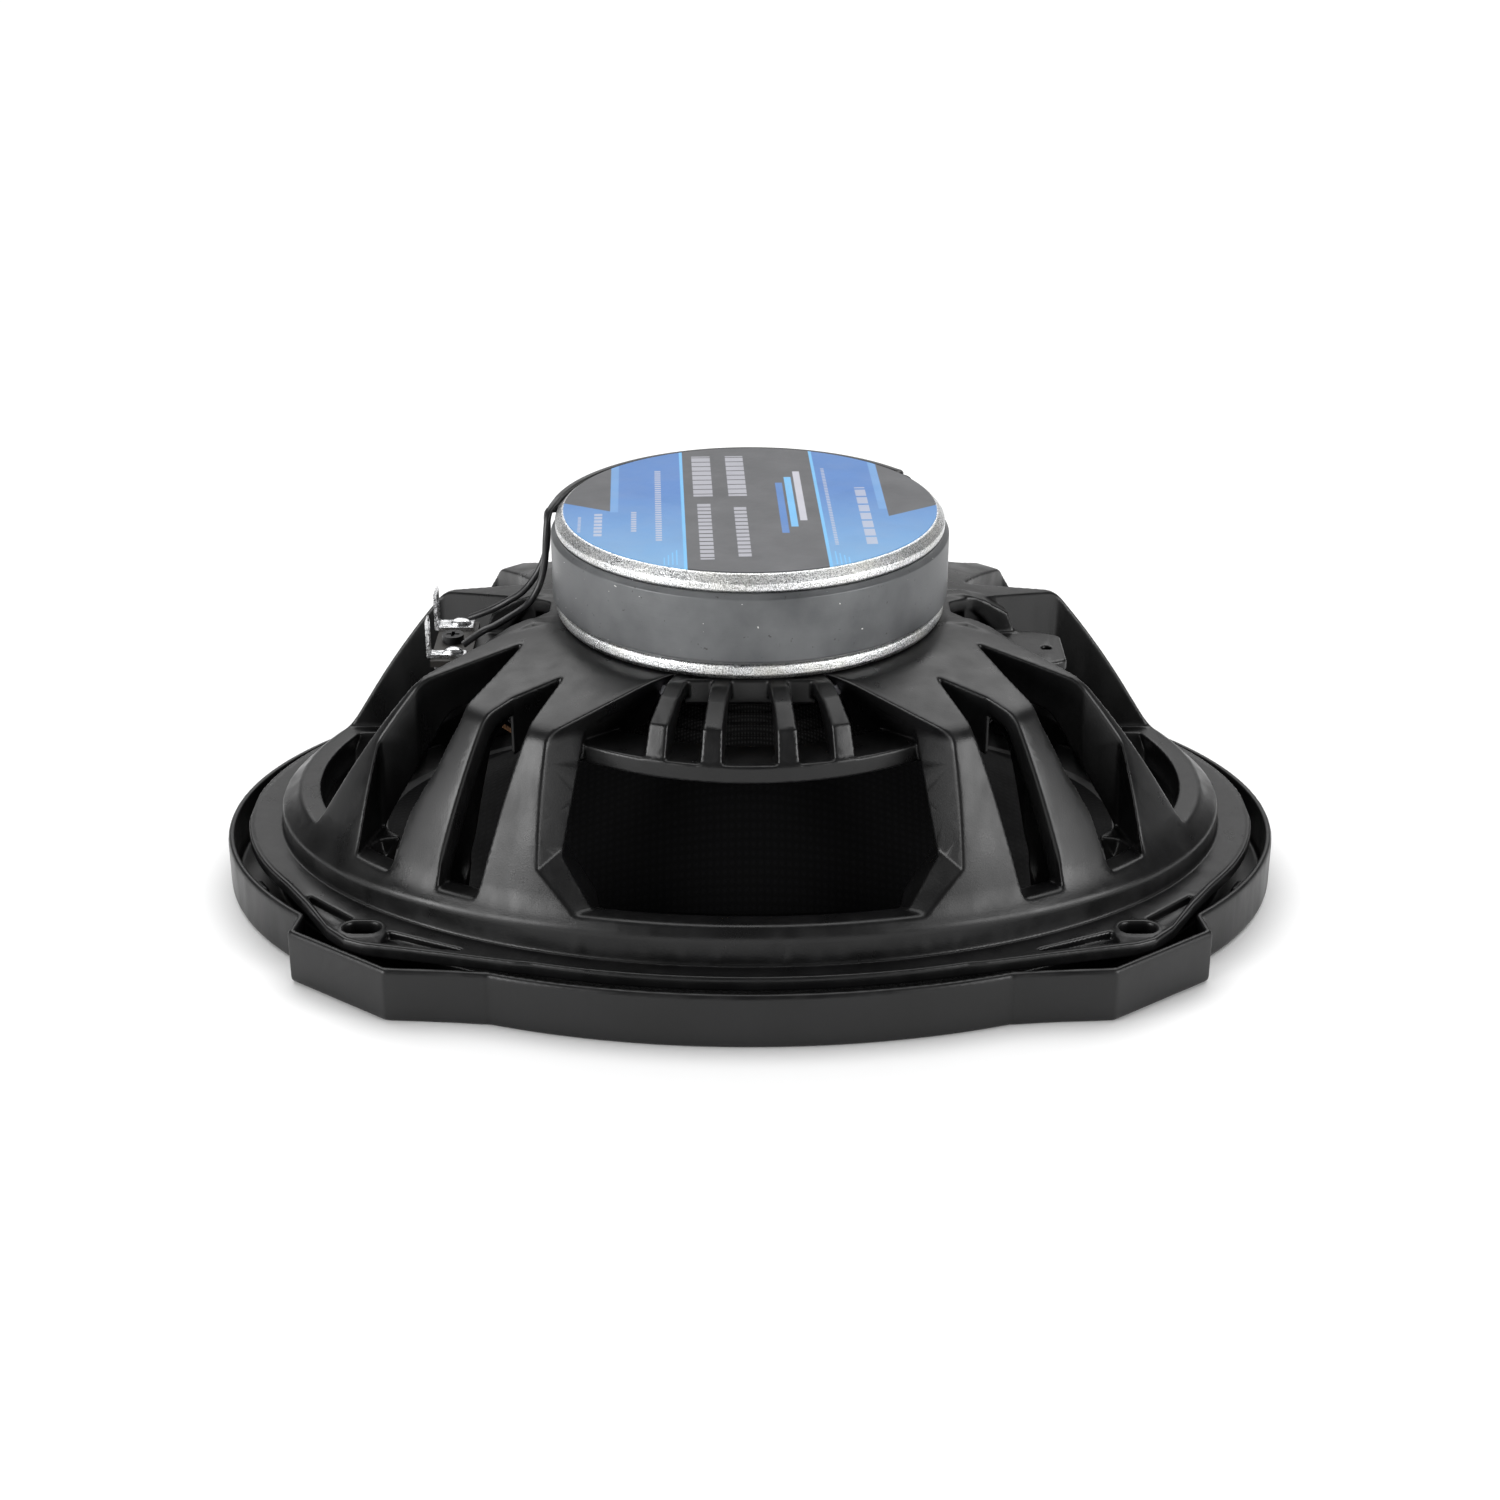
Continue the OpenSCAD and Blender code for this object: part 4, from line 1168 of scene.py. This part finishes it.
def tinned(name, dull):
    s = Shader(name, (0.86, 0.87, 0.88), 0.22, metallic=1.0)
    s.colour(s.blend(s.ramp(s.noise(0.0012, 4), 0.35, 0.7), (0.92, 0.92, 0.93), dull))
    s.roughness(s.swing(s.noise(0.0009, 3), 0.12, 0.38))
    s.bump(s.noise(0.0008, 3), 0.0001)
    return s.material


def small_parts():
    """Finishes with two tones and a fine grain."""
    paper = Shader("small_cone", (0.05, 0.05, 0.055), 0.75)
    paper.colour(paper.blend(paper.noise(0.001, 5), (0.03, 0.03, 0.033), (0.09, 0.09, 0.095)))
    paper.bump(paper.noise(0.0005, 4), 0.00008)
    board = Shader("board", (0.04, 0.028, 0.018), 0.6)
    fibres = board.noise(0.0007, 4, board.scaled(1, 0.2, 1))
    board.colour(board.blend(fibres, (0.008, 0.007, 0.006), (0.02, 0.016, 0.012)))
    board.bump(board.noise(0.0005, 3), 0.00005)
    cap = Shader("cap_sleeve", (0.03, 0.06, 0.2), 0.3, coat=0.3)
    shade = cap.ramp(cap.noise(0.004, 3), 0.4, 0.6)
    cap.colour(cap.blend(shade, (0.025, 0.05, 0.17), (0.04, 0.08, 0.25)))
    cap.bump(cap.noise(0.0015, 2), 0.00004)
    return [x.material for x in (paper, board, cap)]


def all_materials():
    """Every material by the name of its slot in the record."""
    black_film, black_thread = (0.002, 0.002, 0.0022), (0.004, 0.004, 0.0045)
    dark_cloth, pale_cloth = (0.012, 0.012, 0.012), (0.05, 0.05, 0.05)
    made = [
        moulded("basket_plastic", 0.004, 0.33),
        moulded("trim_plastic", 0.005, 0.36, 0.0005, 0.00001),
        moulded("bridge_plastic", 0.012, 0.42),
        satin("grille_steel", (0.018, 0.018, 0.019), 0.42, 0.003, (0.36, 0.5), 0.0005, 0.00003),
        satin("black_steel", (0.02, 0.02, 0.021), 0.35, 0.001, (0.28, 0.5), 0.0005, 0.00002, 0.6),
        satin("wire_sleeve", (0.014, 0.014, 0.015), 0.36, 0.003, (0.3, 0.46), 0.0012, 0.00003),
        brushed("badge_metal", (0.6, 0.61, 0.63), 0.3, (0.1, 1, 1)),
        foam(),
        rubber(),
        woven("cone_poly", black_film, black_thread, 0.65, 0.0016, 0.00004),
        woven("spider_cloth", dark_cloth, pale_cloth, 0.8, 0.0007, 0.00008),
        turned("former", (0.55, 0.36, 0.16), 0.004, 0.35, 0.6),
        turned("copper_wire", (0.72, 0.32, 0.14), 0.00025, 0.3, 1.0),
        zinc(),
        raw_steel(),
        ferrite(),
        printed_label(),
        brushed("dome_metal", (0.72, 0.73, 0.75), 0.28, (1, 1, 1)),
        tinned("tin", (0.6, 0.61, 0.62)),
        woven("tinsel", (0.1, 0.05, 0.025), (0.28, 0.15, 0.08), 0.5, 0.0006, 0.0001),
    ]
    return {m.name.split(".")[0]: m for m in made + small_parts()}


# ---- Assembly ----

make_basket()
make_trim()
make_grille()
make_badge_and_gasket()
make_surround()
make_cone()
make_spider()
make_winding()
make_motor()
make_midrange()
make_tweeter()
for y, cad_node, width in ((8.8, "positive_terminal", 4.8), (-8.8, "negative_terminal", 2.8)):
    put(terminal_piece(cad_node + "_strip", y, width), "chassis", "tin", cad_node)
for y, seed in ((8.8, 3), (-8.8, 8)):
    put(solder_blob(y, seed), "chassis", "tin", "solder_joints")
for cad_node in LEADS:
    make_lead(cad_node)
make_tinsel()
make_capacitor("midrange_can", 8.8, "midrange_capacitor")
make_capacitor("tweeter_can", -8.8, "tweeter_capacitor")

materials = all_materials()
cad_slots = {row["node"]: row["material_slot"] for row in frame["record"]["subparts"]}
for piece in bpy.data.objects:
    if piece.type != "MESH":
        continue
    finish = piece.get("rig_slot") or cad_slots.get(piece.get("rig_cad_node"))
    piece.data.materials.clear()
    piece.data.materials.append(materials[finish])

for name, place, size, radiance in (
        ("left_box", (-0.93, -0.64, 0.33), (0.75, 0.5), 9.0),
        ("right_box", (0.93, -0.64, 0.33), (0.75, 0.5), 7.5),
        ("overhead", (0, 0.85, 1.7), (2.8, 2.3), 2.7),
        ("backdrop_glow", (0, 2.2, 0.7), (3.6, 1.4), 0.4)):
    soft_box(name, place, size, radiance * math.pi * size[0] * size[1])
world = bpy.data.worlds.new("studio")
world.use_nodes = True
world.node_tree.nodes["Background"].inputs["Color"].default_value = (1, 1, 1, 1)
world.node_tree.nodes["Background"].inputs["Strength"].default_value = 0.1
bpy.context.scene.world = world
bpy.context.scene.view_settings.view_transform = "Standard"

bpy.ops.mesh.primitive_plane_add(size=6, location=(0, 0, FLOOR_Z))
floor = bpy.context.object
floor.name = "floor"
pale = bpy.data.materials.new("pale_floor")
pale.use_nodes = True
pale.node_tree.nodes["Principled BSDF"].inputs["Base Color"].default_value = (0.93, 0.93, 0.93, 1)
pale.node_tree.nodes["Principled BSDF"].inputs["Roughness"].default_value = 0.8
floor.data.materials.append(pale)
